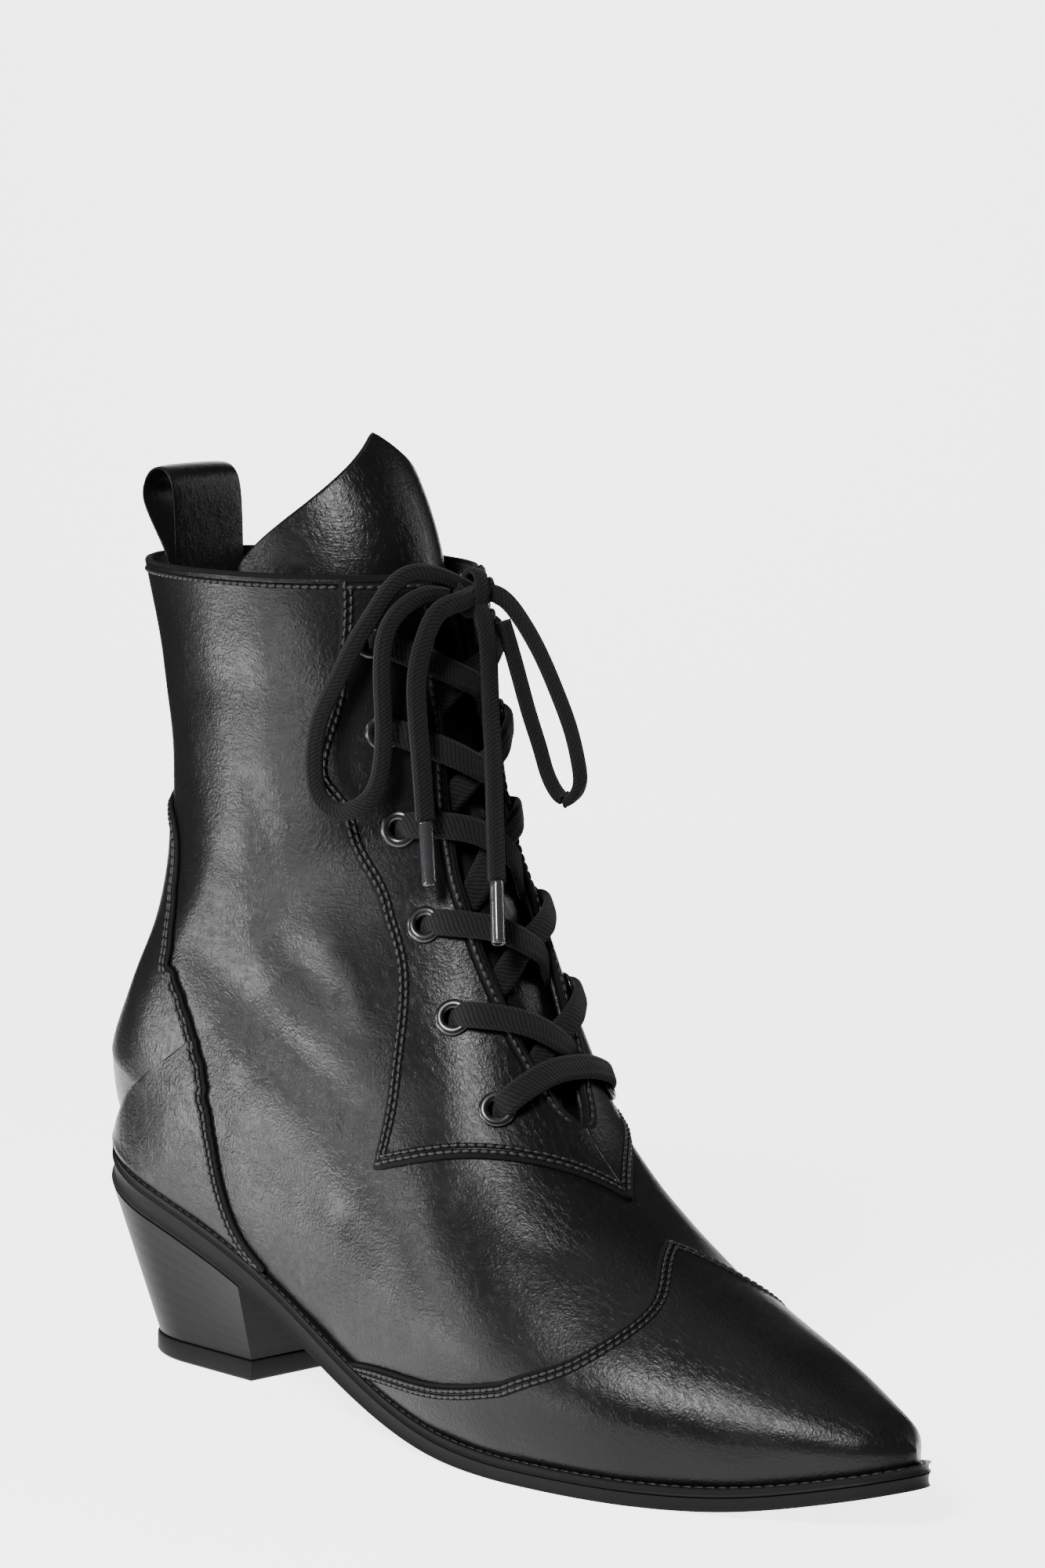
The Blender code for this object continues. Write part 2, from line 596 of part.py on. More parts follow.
# Eyestays, one each side of the throat, meeting at the seam below it
rows = np.concatenate([[0.372, 0.385, 0.404, 0.424, 0.448, 0.463, 0.475, 0.490, 0.505, 0.535, 0.566, 0.60],
                       SHAFT_STATIONS[:-1], [0.997]])
for side, label in ((-1, "lateral"), (1, "medial")):
    spread = []
    for q in rows:
        low = float(straight(EYESTAY_EDGE, "sweep", q))
        high = throat_sweep(q, side, SEAM_GAP)
        spread.append(low + (high - low) * np.linspace(0, 1, 9))
    shell("eyestay_" + label, [patch(rows, spread, side, *COVER)], LEATHER)

# Tongue: inside the shaft it follows the upper, above the collar it leans back to a point
rows = np.array([0.40, 0.44, 0.48, 0.52, 0.57, 0.62, 0.70, 0.78, 0.86, 0.93, 1.0])
above = np.array([0.15, 0.35, 0.55, 0.78, 1.0])
grids = []
for side in (-1, 1):
    faces_pair = []
    for depth in (0.0, TONGUE_THICKNESS):
        grid = []
        for q in rows:
            edge = float(spline(TONGUE, "edge", q))
            inset = UPPER_WALL + TONGUE_GAP + depth + SOLE_LENGTH * max(float(spline(TONGUE, "back", q)), 0)
            grid.append(skin(q, np.linspace(edge, 2, 8), side, inset))
        top = grid[-1]
        place = np.linspace(1, 0, 8)
        rise = TONGUE_RISE * (0.03 + 0.97 * (1 - place) ** 0.75)
        for share in above:
            up = rise * share
            full_lean = (TONGUE_LEAN - 0.15) * up * up / TONGUE_RISE + 0.15 * up
            moved = top.copy()
            moved[:, 0] *= 1 - 0.10 * up / TONGUE_RISE
            moved[:, 1] -= full_lean
            moved[:, 2] += up
            grid.append(moved)
        faces_pair.append(np.array(grid))
    grids.append((faces_pair[0], faces_pair[1], side > 0))
shell("tongue", grids, LEATHER)

# Sole: insole inside the upper, welt and outsole under it
along, outer, inner = edge_line(lambda s: -INSOLE_MARGIN + 0 * s, 40)
base = feather_height(along)
plate("insole", along, outer, inner, base, base + INSOLE_THICKNESS, LINING)
along, outer, inner = edge_line(ledge, 52)
base = welt_base(along)
plate("welt", along, outer, inner, base, base + WELT_THICKNESS, RUBBER)
base = underside(along)
plate("outsole", along, outer, inner, base, base + outsole_thickness(along), RUBBER)

# Heel block under the sole and its top piece on the floor
turns = np.linspace(0, pi / 2, 11)
back = along[0]
front_top = HEEL_BREAST_TOP * SOLE_LENGTH
s_top = back + 0.6 + (front_top - back - 0.6) * (1 - np.cos(turns))
out_top = np.interp(s_top, along, outer) + 0.4
in_top = np.interp(s_top, along, inner) - 0.4
back_low = HEEL_BACK_BOTTOM * SOLE_LENGTH
s_low = back_low + (HEEL_BREAST_BOTTOM * SOLE_LENGTH - back_low) * (1 - np.cos(turns))
share = np.clip((s_low - back_low) / (0.085 * SOLE_LENGTH), 0, 1)
half_low = HEEL_BOTTOM_HALF * BALL_WIDTH * (1 - (1 - share) ** 2.2) ** (1 / 2.2)


def heel_ring(level, grow=0.0):
    """Ring round the heel: level 0 under the sole, 1 at the top piece."""
    s = s_top + (s_low - s_top) * level
    z_top = underside(s_top) - JOIN_GAP
    z = z_top + (TOP_PIECE_HEIGHT + JOIN_GAP - z_top) * level
    left = out_top + (-half_low - out_top) * level
    right = in_top + (half_low - in_top) * level
    outer_side = np.stack([left, s, z], -1)[::-1]
    inner_side = np.stack([right, s, z], -1)
    return np.concatenate([outer_side, inner_side[1:]])


ring_solid("heel_block", [heel_ring(level) for level in np.linspace(0, 1, 6)], STACK)


def top_piece_ring(z, grow):
    middle = np.array([0.0, (s_low[0] + s_low[-1]) / 2, 0.0])
    size = np.array([1 + grow / half_low[-1], 1 + 2 * grow / (s_low[-1] - s_low[0]), 1.0])
    outer_side = np.stack([-half_low, s_low, 0 * s_low], -1)[::-1]
    inner_side = np.stack([half_low, s_low, 0 * s_low], -1)
    ring = np.concatenate([outer_side, inner_side[1:]])
    ring = middle + (ring - middle) * size
    ring[:, 2] = z
    return ring


ring_solid("heel_top_piece", [top_piece_ring(0.0, -0.2), top_piece_ring(0.6, TOP_PIECE_LIP - 0.1),
                              top_piece_ring(TOP_PIECE_HEIGHT, TOP_PIECE_LIP)], RUBBER)

# Pull loop: a strap folded into a drop at the back of the collar, both ends inside the shaft
collar_back = skin(1.0, 0.0, -1)
marks = np.arange(len(PULL_LOOP["up"]), dtype=float)
loop_table = {"mark": list(marks), "s": PULL_LOOP["ahead"], "z": PULL_LOOP["up"]}
fine = np.linspace(0, marks[-1], 34)
side_view = np.stack([spline(loop_table, "s", fine), spline(loop_table, "z", fine)], -1)
side_view = collar_back[1:] + side_view * PULL_LOOP_RISE
ahead = frames(side_view)
normal = np.stack([-ahead[:, 1], ahead[:, 0]], -1)
rings = []
for p, n in zip(side_view, normal):
    ring = []
    for x, d in ((-1, -1), (1, -1), (1, 1), (-1, 1)):
        at = p + n * d * PULL_LOOP_STRAP / 2
        ring.append((x * PULL_LOOP_WIDTH / 2, at[0], at[1]))
    rings.append(np.array(ring))
ring_solid("pull_loop", rings, LEATHER, smooth=False)

# Eyelets on the eyestays
EYELET_LIFT = COVER_GAP + OVERLAY_THICKNESS + 0.075 * EYELET_OUTER
profile = [(EYELET_HOLE / 2, 0.0), (EYELET_OUTER / 2, 0.0), (0.42 * EYELET_OUTER, EYELET_HEIGHT),
           (EYELET_HOLE / 2 + 0.1, 0.8 * EYELET_HEIGHT)]
for side, label in ((-1, "lateral"), (1, "medial")):
    for row in range(EYELET_ROWS):
        q = EYELETS["station"][row]
        t = EYELETS["sweep"][row]
        away = skin_normal(q, t, side)
        middle = skin(q, t, side) + away * EYELET_LIFT
        first = np.cross(away, (0.0, 0.0, 1.0))
        first /= np.linalg.norm(first)
        second = np.cross(away, first)
        points = []
        faces = []
        steps = 10
        sides = len(profile)
        for k in range(steps):
            turn = 2 * pi * k / steps
            spoke = first * np.cos(turn) + second * np.sin(turn)
            points.extend(middle + spoke * r + away * h for r, h in profile)
            for i in range(sides):
                j = (i + 1) % sides
                ahead_k = (k + 1) % steps
                faces.append((k * sides + i, k * sides + j, ahead_k * sides + j, ahead_k * sides + i))
        solid("eyelet_%s_%d" % (label, row + 1), np.array(points), faces, METAL)

# Lace: a straight bar at the lowest row, crossings above it
EYELET_TOP = EYELET_LIFT + EYELET_HEIGHT + 3 * JOIN_GAP + LACE_THICKNESS / 2
RIM_TOP = EYELET_TOP + 0.10 * EYELET_OUTER
EDGE_TOP = COVER_GAP + OVERLAY_THICKNESS + JOIN_GAP + LACE_THICKNESS / 2 + 0.2


def over_throat(place, row_station, row_sweep, height):
    """Point above the throat: place runs from -1 at the outer eyelet to 1 at the inner one."""
    side = -1 if place < 0 else 1
    sweep = 2 - abs(place) * (2 - row_sweep)
    return skin(row_station, sweep, side, -height), skin_normal(row_station, sweep, side)


def lace_path(places, stations, sweep, heights):
    pairs = [over_throat(p, q, sweep, h) for p, q, h in zip(places, stations, heights)]
    return np.array([p for p, n in pairs]), np.array([n for p, n in pairs])


bar_places = np.array([-1.0, -0.85, -0.66, -0.42, -0.15, 0.15, 0.42, 0.66, 0.85, 1.0])
bar_heights = [EYELET_TOP, RIM_TOP, RIM_TOP, EDGE_TOP + 0.3, 2.6, 2.6, EDGE_TOP + 0.3, RIM_TOP, RIM_TOP, EYELET_TOP]
path, up = lace_path(bar_places, [EYELETS["station"][0]] * 10, EYELETS["sweep"][0], bar_heights)
strap("lace_bar_1", path, up, LACE_WIDTH, LACE_THICKNESS, LACE)
arm_places = np.array([-1.0, -0.84, -0.64, -0.46, -0.31, -0.19, -0.08, 0.03, 0.12])
for row in range(1, EYELET_ROWS):
    high = EYELETS["station"][row]
    low = EYELETS["station"][row - 1]
    sweep = EYELETS["sweep"][row]
    drop = (arm_places + 1) / 2
    arm_stations = high - (high - low) * drop
    over = [EYELET_TOP, RIM_TOP, RIM_TOP, EDGE_TOP + 0.6, EDGE_TOP + 0.5, 3.0, 1.9, 1.4, 1.2]
    under = [EYELET_TOP, RIM_TOP, RIM_TOP, EDGE_TOP + 0.6, EDGE_TOP + 0.5, 2.0, 0.5, 0.0, -0.1]
    name = "lace_cross_%d" % (row + 1)
    path, up = lace_path(arm_places, arm_stations, sweep, over)
    main = strap(name, path, up, LACE_WIDTH, LACE_THICKNESS, LACE)
    path, up = lace_path(-arm_places, arm_stations, sweep, under)
    second_arm = strap(name + "_arm", path, up, LACE_WIDTH, LACE_THICKNESS, LACE)
    second_arm.hide_render = True
    second_arm.display_type = "WIRE"
    joined = main.modifiers.new("join", "BOOLEAN")
    joined.operation = "UNION"
    joined.object = second_arm

# Bow: a knot at the top of the throat, two loops, two ends and their clear aglets
steps = 12
rings = []
for turn in np.linspace(0.16, pi - 0.16, 7):
    ring = []
    for k in range(steps):
        way = 2 * pi * k / steps
        ring.append((KNOT_CENTRE[0] - KNOT_HALF_SIZE[0] * np.cos(turn),
                     KNOT_CENTRE[1] + KNOT_HALF_SIZE[1] * np.sin(turn) * np.cos(way),
                     KNOT_CENTRE[2] + KNOT_HALF_SIZE[2] * np.sin(turn) * np.sin(way)))
    rings.append(np.array(ring))
ring_solid("lace_knot", rings, LACE)


def smooth_path(points, spacing):
    """Even points on the smooth curve through a hand-chosen list."""
    points = np.array(points)
    walked = np.concatenate([[0], np.cumsum(np.linalg.norm(np.diff(points, axis=0), axis=1))])
    at = np.linspace(0, walked[-1], int(round(walked[-1] / spacing)) + 1)
    columns = [spline({"walked": list(walked), "v": list(points[:, k])}, "v", at) for k in range(3)]
    return np.stack(columns, -1)


def away_from_shaft(path):
    """Direction from the shaft's middle, level with each point."""
    away = path - np.array([0.0, 0.19 * SOLE_LENGTH, 0.0])
    away[:, 2] = 0
    return away / np.linalg.norm(away, axis=1)[:, None]


for name, points in BOW.items():
    path = smooth_path(points, 7.0)
    if name.startswith("lace_loop"):
        strap(name, path, away_from_shaft(path), 0.7 * LACE_WIDTH, LACE_THICKNESS, LACE)
        continue
    strap(name, path, away_from_shaft(path), 0.9 * LACE_WIDTH, LACE_THICKNESS, LACE)
    ahead = path[-1] - path[-2]
    ahead /= np.linalg.norm(ahead)
    ends = path[-1] + np.outer([JOIN_GAP, AGLET_LENGTH / 2, AGLET_LENGTH], ahead)
    label = name.replace("lace_end", "aglet")
    strap(label, ends, away_from_shaft(ends), AGLET_DIAMETER, AGLET_DIAMETER, CLEAR, 8)
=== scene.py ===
import bpy
import bmesh
import numpy as np
from math import pi, cos, sin, radians
from mathutils import Matrix, Vector
from mathutils.bvhtree import BVHTree


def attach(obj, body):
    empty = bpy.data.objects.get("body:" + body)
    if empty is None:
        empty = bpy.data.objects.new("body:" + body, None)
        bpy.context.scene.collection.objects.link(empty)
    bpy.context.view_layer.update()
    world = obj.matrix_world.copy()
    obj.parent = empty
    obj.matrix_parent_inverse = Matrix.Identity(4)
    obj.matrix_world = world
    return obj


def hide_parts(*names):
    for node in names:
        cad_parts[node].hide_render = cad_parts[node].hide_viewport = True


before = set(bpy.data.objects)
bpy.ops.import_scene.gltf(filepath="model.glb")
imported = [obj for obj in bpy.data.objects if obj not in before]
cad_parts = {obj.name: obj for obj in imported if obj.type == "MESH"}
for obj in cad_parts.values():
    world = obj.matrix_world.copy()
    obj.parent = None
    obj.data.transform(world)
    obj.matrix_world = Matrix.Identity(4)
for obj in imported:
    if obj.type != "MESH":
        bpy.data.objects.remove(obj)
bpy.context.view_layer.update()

# The last, in millimetres: x to the big toe's side, s forward from the heel, z up
last = {
    "soleLength": 287.0, "ballWidth": 90.0, "heelHeight": 48.8, "collarHeight": 223.0,
    "outsoleFront": 3.5, "outsoleBack": 5.7, "weltThickness": 2.2, "joinGap": 0.3,
    "heelEnd": -0.014, "toeEnd": 0.960, "heelRounding": 0.108, "toeRounding": 0.0314,
    "heelStation": 0.60, "wall": 1.8,
}
last["centreS"] = (0.5 - 0.0295) * last["soleLength"]
last["centreX"] = -0.0204 * last["ballWidth"]

soleProfile = {
    "along": [-0.042, 0.0, 0.105, 0.209, 0.296, 0.376, 0.453, 0.530, 0.620, 0.746, 0.836, 0.913, 0.986],
    "height": [1.078, 1.0, 0.820, 0.639, 0.451, 0.266, 0.123, 0.033, 0.0, 0.0, 0.029, 0.119, 0.234],
}
feather = {
    "along": [-0.014, 0.052, 0.122, 0.209, 0.296, 0.383, 0.470, 0.557, 0.645,
              0.732, 0.808, 0.878, 0.927, 0.960],
    "outer": [-0.322, -0.329, -0.336, -0.347, -0.369, -0.407, -0.447, -0.471, -0.456,
              -0.394, -0.289, -0.176, -0.087, -0.022],
    "inner": [0.317, 0.316, 0.309, 0.298, 0.294, 0.311, 0.358, 0.417, 0.439,
              0.409, 0.333, 0.240, 0.160, 0.104],
}
weltLedge = {
    "along": [-0.042, 0.139, 0.383, 0.592, 0.986],
    "width": [0.040, 0.031, 0.031, 0.044, 0.047],
}
# Stations run from the toe point (0) to the collar (1), sweep from the feather line (0) to the ridge (2)
stations = {
    "station": [0.0, 0.025, 0.07, 0.14, 0.24, 0.32, 0.39, 0.45, 0.50, 0.54, 0.57,
                0.60, 0.68, 0.76, 0.84, 0.92, 1.0],
    "seat": [1.0, 0.970, 0.927, 0.864, 0.775, 0.696, 0.603, 0.504, 0.398, 0.292, 0.196,
             0.0, 0.0, 0.0, 0.0, 0.0, 0.0],
    "front": [0.962, 0.946, 0.908, 0.838, 0.742, 0.664, 0.594, 0.538, 0.500, 0.472, 0.451,
              0.434, 0.411, 0.394, 0.381, 0.372, 0.366],
    "rise": [0.088, 0.1045, 0.1265, 0.164, 0.216, 0.2645, 0.3295, 0.408, 0.493, 0.565, 0.621,
             0.675, 0.7535, 0.8275, 0.8925, 0.9485, 1.0],
    "outer": [0.004, 0.009, 0.013, 0.022, 0.033, 0.038, 0.036, 0.031, 0.027, 0.027, 0.029,
              0.031, 0.027, 0.025, 0.038, 0.058, 0.081],
    "inner": [0.004, 0.001, 0.003, 0.011, 0.018, 0.024, 0.033, 0.040, 0.049, 0.053, 0.051,
              0.047, 0.038, 0.036, 0.044, 0.058, 0.076],
    "waist": [0.50, 0.45, 0.40, 0.36, 0.34, 0.33, 0.32, 0.31, 0.30, 0.30, 0.29,
              0.28, 0.32, 0.43, 0.47, 0.48, 0.48],
    "fullOut": [2.0, 2.0, 2.0, 1.9, 1.8, 1.75, 1.75, 1.75, 1.8, 1.85, 1.9,
                2.0, 2.1, 2.2, 2.2, 2.2, 2.1],
    "fullIn": [2.0, 2.0, 2.0, 1.9, 1.7, 1.75, 1.95, 2.3, 2.6, 2.6, 2.6,
               2.5, 2.5, 2.5, 2.5, 2.4, 2.2],
    "ridge": [0.041, 0.044, 0.040, 0.029, 0.016, 0.007, 0.004, 0.008, 0.018, 0.023, 0.025,
              0.023, 0.019, 0.015, 0.011, 0.009, 0.008],
}
backSeam = {
    "station": [0.64, 0.68, 0.76, 0.84, 0.92, 1.0],
    "along": [-0.0293, -0.0237, 0.0251, 0.0446, 0.0334, 0.0035],
    "height": [0.305, 0.3677, 0.5112, 0.6682, 0.8251, 0.980],
}
throat = {
    "station": [0.424, 0.440, 0.465, 0.50, 0.55, 0.60, 0.70, 0.80, 0.92, 1.0],
    "half": [0.0, 0.042, 0.074, 0.102, 0.115, 0.113, 0.100, 0.087, 0.077, 0.077],
}


class Curve:  # a smooth curve through one column of a table
    def __init__(self, xs, ys):
        self.xs = np.array(xs, float)
        self.ys = np.array(ys, float)
        self.step = np.diff(self.xs)
        count = len(self.xs)
        matrix = np.zeros((count, count))
        right = np.zeros(count)
        for i in range(1, count - 1):
            matrix[i, i - 1:i + 2] = [self.step[i - 1], 2 * (self.step[i - 1] + self.step[i]), self.step[i]]
            right[i] = 6 * ((self.ys[i + 1] - self.ys[i]) / self.step[i]
                            - (self.ys[i] - self.ys[i - 1]) / self.step[i - 1])
        matrix[0, :2] = [1, -1]
        matrix[-1, -2:] = [-1, 1]
        self.bend = np.linalg.solve(matrix, right)

    def __call__(self, at):
        at = np.clip(np.asarray(at, float), self.xs[0], self.xs[-1])
        k = np.clip(np.searchsorted(self.xs, at, side="right") - 1, 0, len(self.xs) - 2)
        after = at - self.xs[k]
        before = self.xs[k + 1] - at
        step = self.step[k]
        cubic = (self.bend[k] * before ** 3 + self.bend[k + 1] * after ** 3) / (6 * step)
        low = (self.ys[k] / step - self.bend[k] * step / 6) * before
        high = (self.ys[k + 1] / step - self.bend[k + 1] * step / 6) * after
        return cubic + low + high


def curvesOf(table):
    first = next(iter(table))
    return {name: Curve(table[first], values) for name, values in table.items() if name != first}


soleCurve = curvesOf(soleProfile)["height"]
featherCurves = curvesOf(feather)
ledgeCurve = curvesOf(weltLedge)["width"]
stationCurves = curvesOf(stations)


def underside(s):
    return np.maximum(last["heelHeight"] * soleCurve(np.asarray(s, float) / last["soleLength"]), 0)


def outsoleThickness(s):
    share = np.clip((np.asarray(s, float) / last["soleLength"] - 0.25) / 0.40, 0, 1)
    return last["outsoleBack"] + (last["outsoleFront"] - last["outsoleBack"]) * share * share * (3 - 2 * share)


def weltBase(s):
    return underside(s) + outsoleThickness(s) + last["joinGap"]


def featherHeight(s):
    return weltBase(s) + last["weltThickness"] + last["joinGap"]


def featherSides(s, inset):
    along = np.asarray(s, float) / last["soleLength"]
    outer = last["ballWidth"] * featherCurves["outer"](along) + inset
    inner = last["ballWidth"] * featherCurves["inner"](along) - inset
    return (outer + inner) / 2, (inner - outer) / 2


def heelRound(s, inset):
    reach = last["heelRounding"] * last["soleLength"] - inset
    share = np.clip((s - last["heelEnd"] * last["soleLength"] - inset) / reach, 0, 1)
    return (1 - (1 - share) ** 2.1) ** (1 / 2.1)


def toeRound(s, inset):
    share = (last["toeEnd"] * last["soleLength"] - inset - s) / (last["toeRounding"] * last["soleLength"])
    return (1 - (1 - np.clip(share, 0, 1)) ** 2) ** 0.5


def featherWalk(seat, inset):  # place along the sole for a share of the way round the feather line
    heel = last["heelRounding"] * last["soleLength"]
    toe = last["toeRounding"] * last["soleLength"]
    start = last["heelEnd"] * last["soleLength"] + inset
    end = last["toeEnd"] * last["soleLength"] - inset
    total = heel * pi / 2 + (end - start - heel - toe) + toe * pi / 2
    walked = np.asarray(seat, float) * total
    atHeel = start + heel * (1 - np.cos(np.clip(walked / heel, 0, pi / 2)))
    atToe = end - toe * (1 - np.cos(np.clip((total - walked) / toe, 0, pi / 2)))
    place = np.where(walked < heel * pi / 2, atHeel, start + heel + walked - heel * pi / 2)
    return np.where(total - walked < toe * pi / 2, atToe, place)


def seatOf(station):
    pairs = [(q, v) for q, v in zip(stations["station"], stations["seat"]) if q <= last["heelStation"]]
    xs, ys = np.array(pairs).T
    width = np.diff(xs)
    slope = np.diff(ys) / width
    lean = np.zeros(len(xs))
    first = 2 * width[1:] + width[:-1]
    second = width[1:] + 2 * width[:-1]
    lean[1:-1] = (first + second) / (first / slope[:-1] + second / slope[1:])
    lean[0] = slope[0]
    lean[-1] = slope[-1]
    at = np.clip(station, xs[0], xs[-1])
    k = np.clip(np.searchsorted(xs, at, side="right") - 1, 0, len(xs) - 2)
    t = (at - xs[k]) / width[k]
    a = (1 + 2 * t) * (1 - t) ** 2 * ys[k] + t * (1 - t) ** 2 * width[k] * lean[k]
    b = t * t * (3 - 2 * t) * ys[k + 1] + t * t * (t - 1) * width[k] * lean[k + 1]
    return np.clip(a + b, 0, 1)


heelTop = float(featherHeight(last["heelEnd"] * last["soleLength"]))
seamStations = [last["heelStation"]] + backSeam["station"]
seamAlong = Curve(seamStations, [last["heelEnd"] * last["soleLength"]]
                  + [v * last["soleLength"] for v in backSeam["along"]])
seamHeight = Curve(seamStations, [heelTop] + [v * last["collarHeight"] for v in backSeam["height"]])


def skin(station, sweep, side, lift=0.0):
    # point of the upper's outer face, or of a face that lies lift above it
    q, t = np.broadcast_arrays(np.asarray(station, float), np.asarray(sweep, float))
    inset = -lift
    column = {name: curve(q) for name, curve in stationCurves.items()}
    onSole = q <= last["heelStation"]
    fade = np.minimum((q - last["heelStation"]) / 0.04, 1)
    walk = featherWalk(seatOf(q), inset)
    backS = np.where(onSole, walk, seamAlong(q) + inset)
    backZ = np.where(onSole, featherHeight(walk), seamHeight(q) - np.maximum(inset, 0) * 0.9 * fade)
    backZ = backZ + np.maximum(inset, 0) * 0.9
    low = np.maximum(q - 0.004, 0)
    high = np.minimum(q + 0.004, 1)
    ds = last["soleLength"] * (stationCurves["front"](high) - stationCurves["front"](low))
    dz = last["collarHeight"] * (stationCurves["rise"](high) - stationCurves["rise"](low))
    length = np.hypot(ds, dz)
    frontS = last["soleLength"] * column["front"] - inset * dz / length
    frontZ = last["collarHeight"] * column["rise"] + inset * ds / length
    toeEnd = last["toeEnd"] * last["soleLength"] - inset
    heelEnd = last["heelEnd"] * last["soleLength"] + inset
    seatS = np.where(onSole, np.minimum(backS, toeEnd), heelEnd)
    centre, half = featherSides(seatS, inset)
    toe = np.where(onSole, toeRound(seatS, inset), 1.0)
    heel = np.where(q < last["heelStation"], heelRound(seatS, inset), 0.0)
    swell = last["ballWidth"] * column["outer" if side < 0 else "inner"]
    full = column["fullOut" if side < 0 else "fullIn"]
    waist = column["waist"]
    ridge = centre * (1 - toe) + last["ballWidth"] * column["ridge"] * toe
    seam = np.where(q < last["heelStation"], centre + side * half * heel * toe, 0.0)
    wide = centre + side * (half + swell) * toe
    lower = np.clip(t, 0, 1) * pi / 2
    upper = np.clip(t - 1, 0, 1) * pi / 2
    below = t < 1
    share = np.where(below, waist * (1 - np.cos(lower)), waist + (1 - waist) * np.sin(upper) ** (2 / full))
    x = np.where(below, seam + (wide - seam) * np.sin(lower),
                 ridge + (wide - ridge) * np.cos(upper) ** (2 / full))
    return np.stack([x, backS + (frontS - backS) * share, backZ + (frontZ - backZ) * share], -1)


def throatSweep(station, side, least=0.0):
    station = np.asarray(station, float)
    half = np.maximum(last["ballWidth"] * np.interp(station, throat["station"], throat["half"]), least)
    full = stationCurves["fullOut" if side < 0 else "fullIn"](station)
    reach = np.abs(skin(station, 1.0, side)[..., 0] - skin(station, 2.0, side)[..., 0])
    share = np.clip(half / reach, 0, 1)
    sweep = 1 + np.arccos(share ** (full / 2)) / (pi / 2)
    return np.where(half <= 0, 2.0, sweep)


def skinNormal(station, sweep, side):
    step = 0.002
    station = np.clip(station, step, 1 - step)
    sweep = np.clip(sweep, step, 2 - step)
    alongStation = skin(station + step, sweep, side) - skin(station - step, sweep, side)
    alongSweep = skin(station, sweep + step, side) - skin(station, sweep - step, side)
    away = np.cross(alongSweep, alongStation) * side
    return unit(away)


def unit(v):
    return v / np.maximum(np.linalg.norm(v, axis=-1, keepdims=True), 1e-9)


def metres(p):
    p = np.asarray(p, float)
    return np.stack([p[..., 0] - last["centreX"], last["centreS"] - p[..., 1], p[..., 2]], -1) * 0.001


# Camera at the photograph's angle, floor and light
view = {
    "azimuth": -45.001, "elevation": 9.059, "roll": 1.368, "distance": 1.500083,
    "lens": 156.88, "target": (-0.19805, -0.20059, 0.21633),
}


def placeCamera():
    a, e, r = (radians(view[k]) for k in ("azimuth", "elevation", "roll"))
    back = Vector((sin(a) * cos(e), -cos(a) * cos(e), sin(e)))
    right = Vector((cos(a), sin(a), 0))
    up = back.cross(right)
    turned = right * cos(r) + up * sin(r)
    upright = up * cos(r) - right * sin(r)
    camera = bpy.data.objects.new("camera", bpy.data.cameras.new("camera"))
    bpy.context.scene.collection.objects.link(camera)
    eye = Vector(view["target"]) + back * view["distance"]
    camera.matrix_world = Matrix([(turned[i], upright[i], back[i], eye[i]) for i in range(3)] + [(0, 0, 0, 1)])
    camera.data.lens = view["lens"]
    camera.data.sensor_width = 36
    camera.data.clip_end = 100
    bpy.context.scene.camera = camera
    return right, back


cameraRight, cameraBack = placeCamera()
studio = {
    "world": 0.05, "paperWide": 0.56, "paperFront": 0.175, "paperBack": -1.0, "paperBend": 0.4, "paperTall": 0.9,
    "paperGrey": 0.55, "paperGlow": 3.5,
    # name: sideways, towards the camera, height, width, height of panel, watts
    "panels": {
        "keyLeft": (-0.80, 0.0, -0.065, 0.25, 0.12, 5.2),
        "spotLeft": (-1.10, 0.06, 0.34, 0.26, 0.16, 5.0),
        "highLeft": (-0.46, 0.82, 0.95, 0.26, 0.42, 36.0),
        "lowFront": (-0.98, 0.55, -0.06, 0.20, 0.36, 7.0),
        "rimRight": (1.25, -0.50, 0.60, 0.35, 1.0, 9.0),
        "overhead": (-0.1, -0.25, 1.7, 0.8, 0.8, 4.0),
    },
}


def placePanel(name, sideways, towards, height, wide, tall, watts):
    lamp = bpy.data.lights.new(name, "AREA")
    lamp.shape = "RECTANGLE"
    lamp.size = wide
    lamp.size_y = tall
    lamp.energy = watts
    obj = bpy.data.objects.new(name, lamp)
    bpy.context.scene.collection.objects.link(obj)
    level = Vector((cameraBack.x, cameraBack.y, 0)).normalized()
    obj.location = cameraRight * sideways + level * towards + Vector((0, 0, height))
    obj.rotation_euler = (Vector((0, 0, 0.11)) - obj.location).to_track_quat("-Z", "Y").to_euler()


for panelName, panel in studio["panels"].items():
    placePanel(panelName, *panel)
world = bpy.data.worlds.new("studio")
bpy.context.scene.world = world
world.use_nodes = True
world.node_tree.nodes["Background"].inputs["Color"].default_value = (1.0, 1.0, 1.0, 1)
world.node_tree.nodes["Background"].inputs["Strength"].default_value = studio["world"]
print("camera and lights placed")


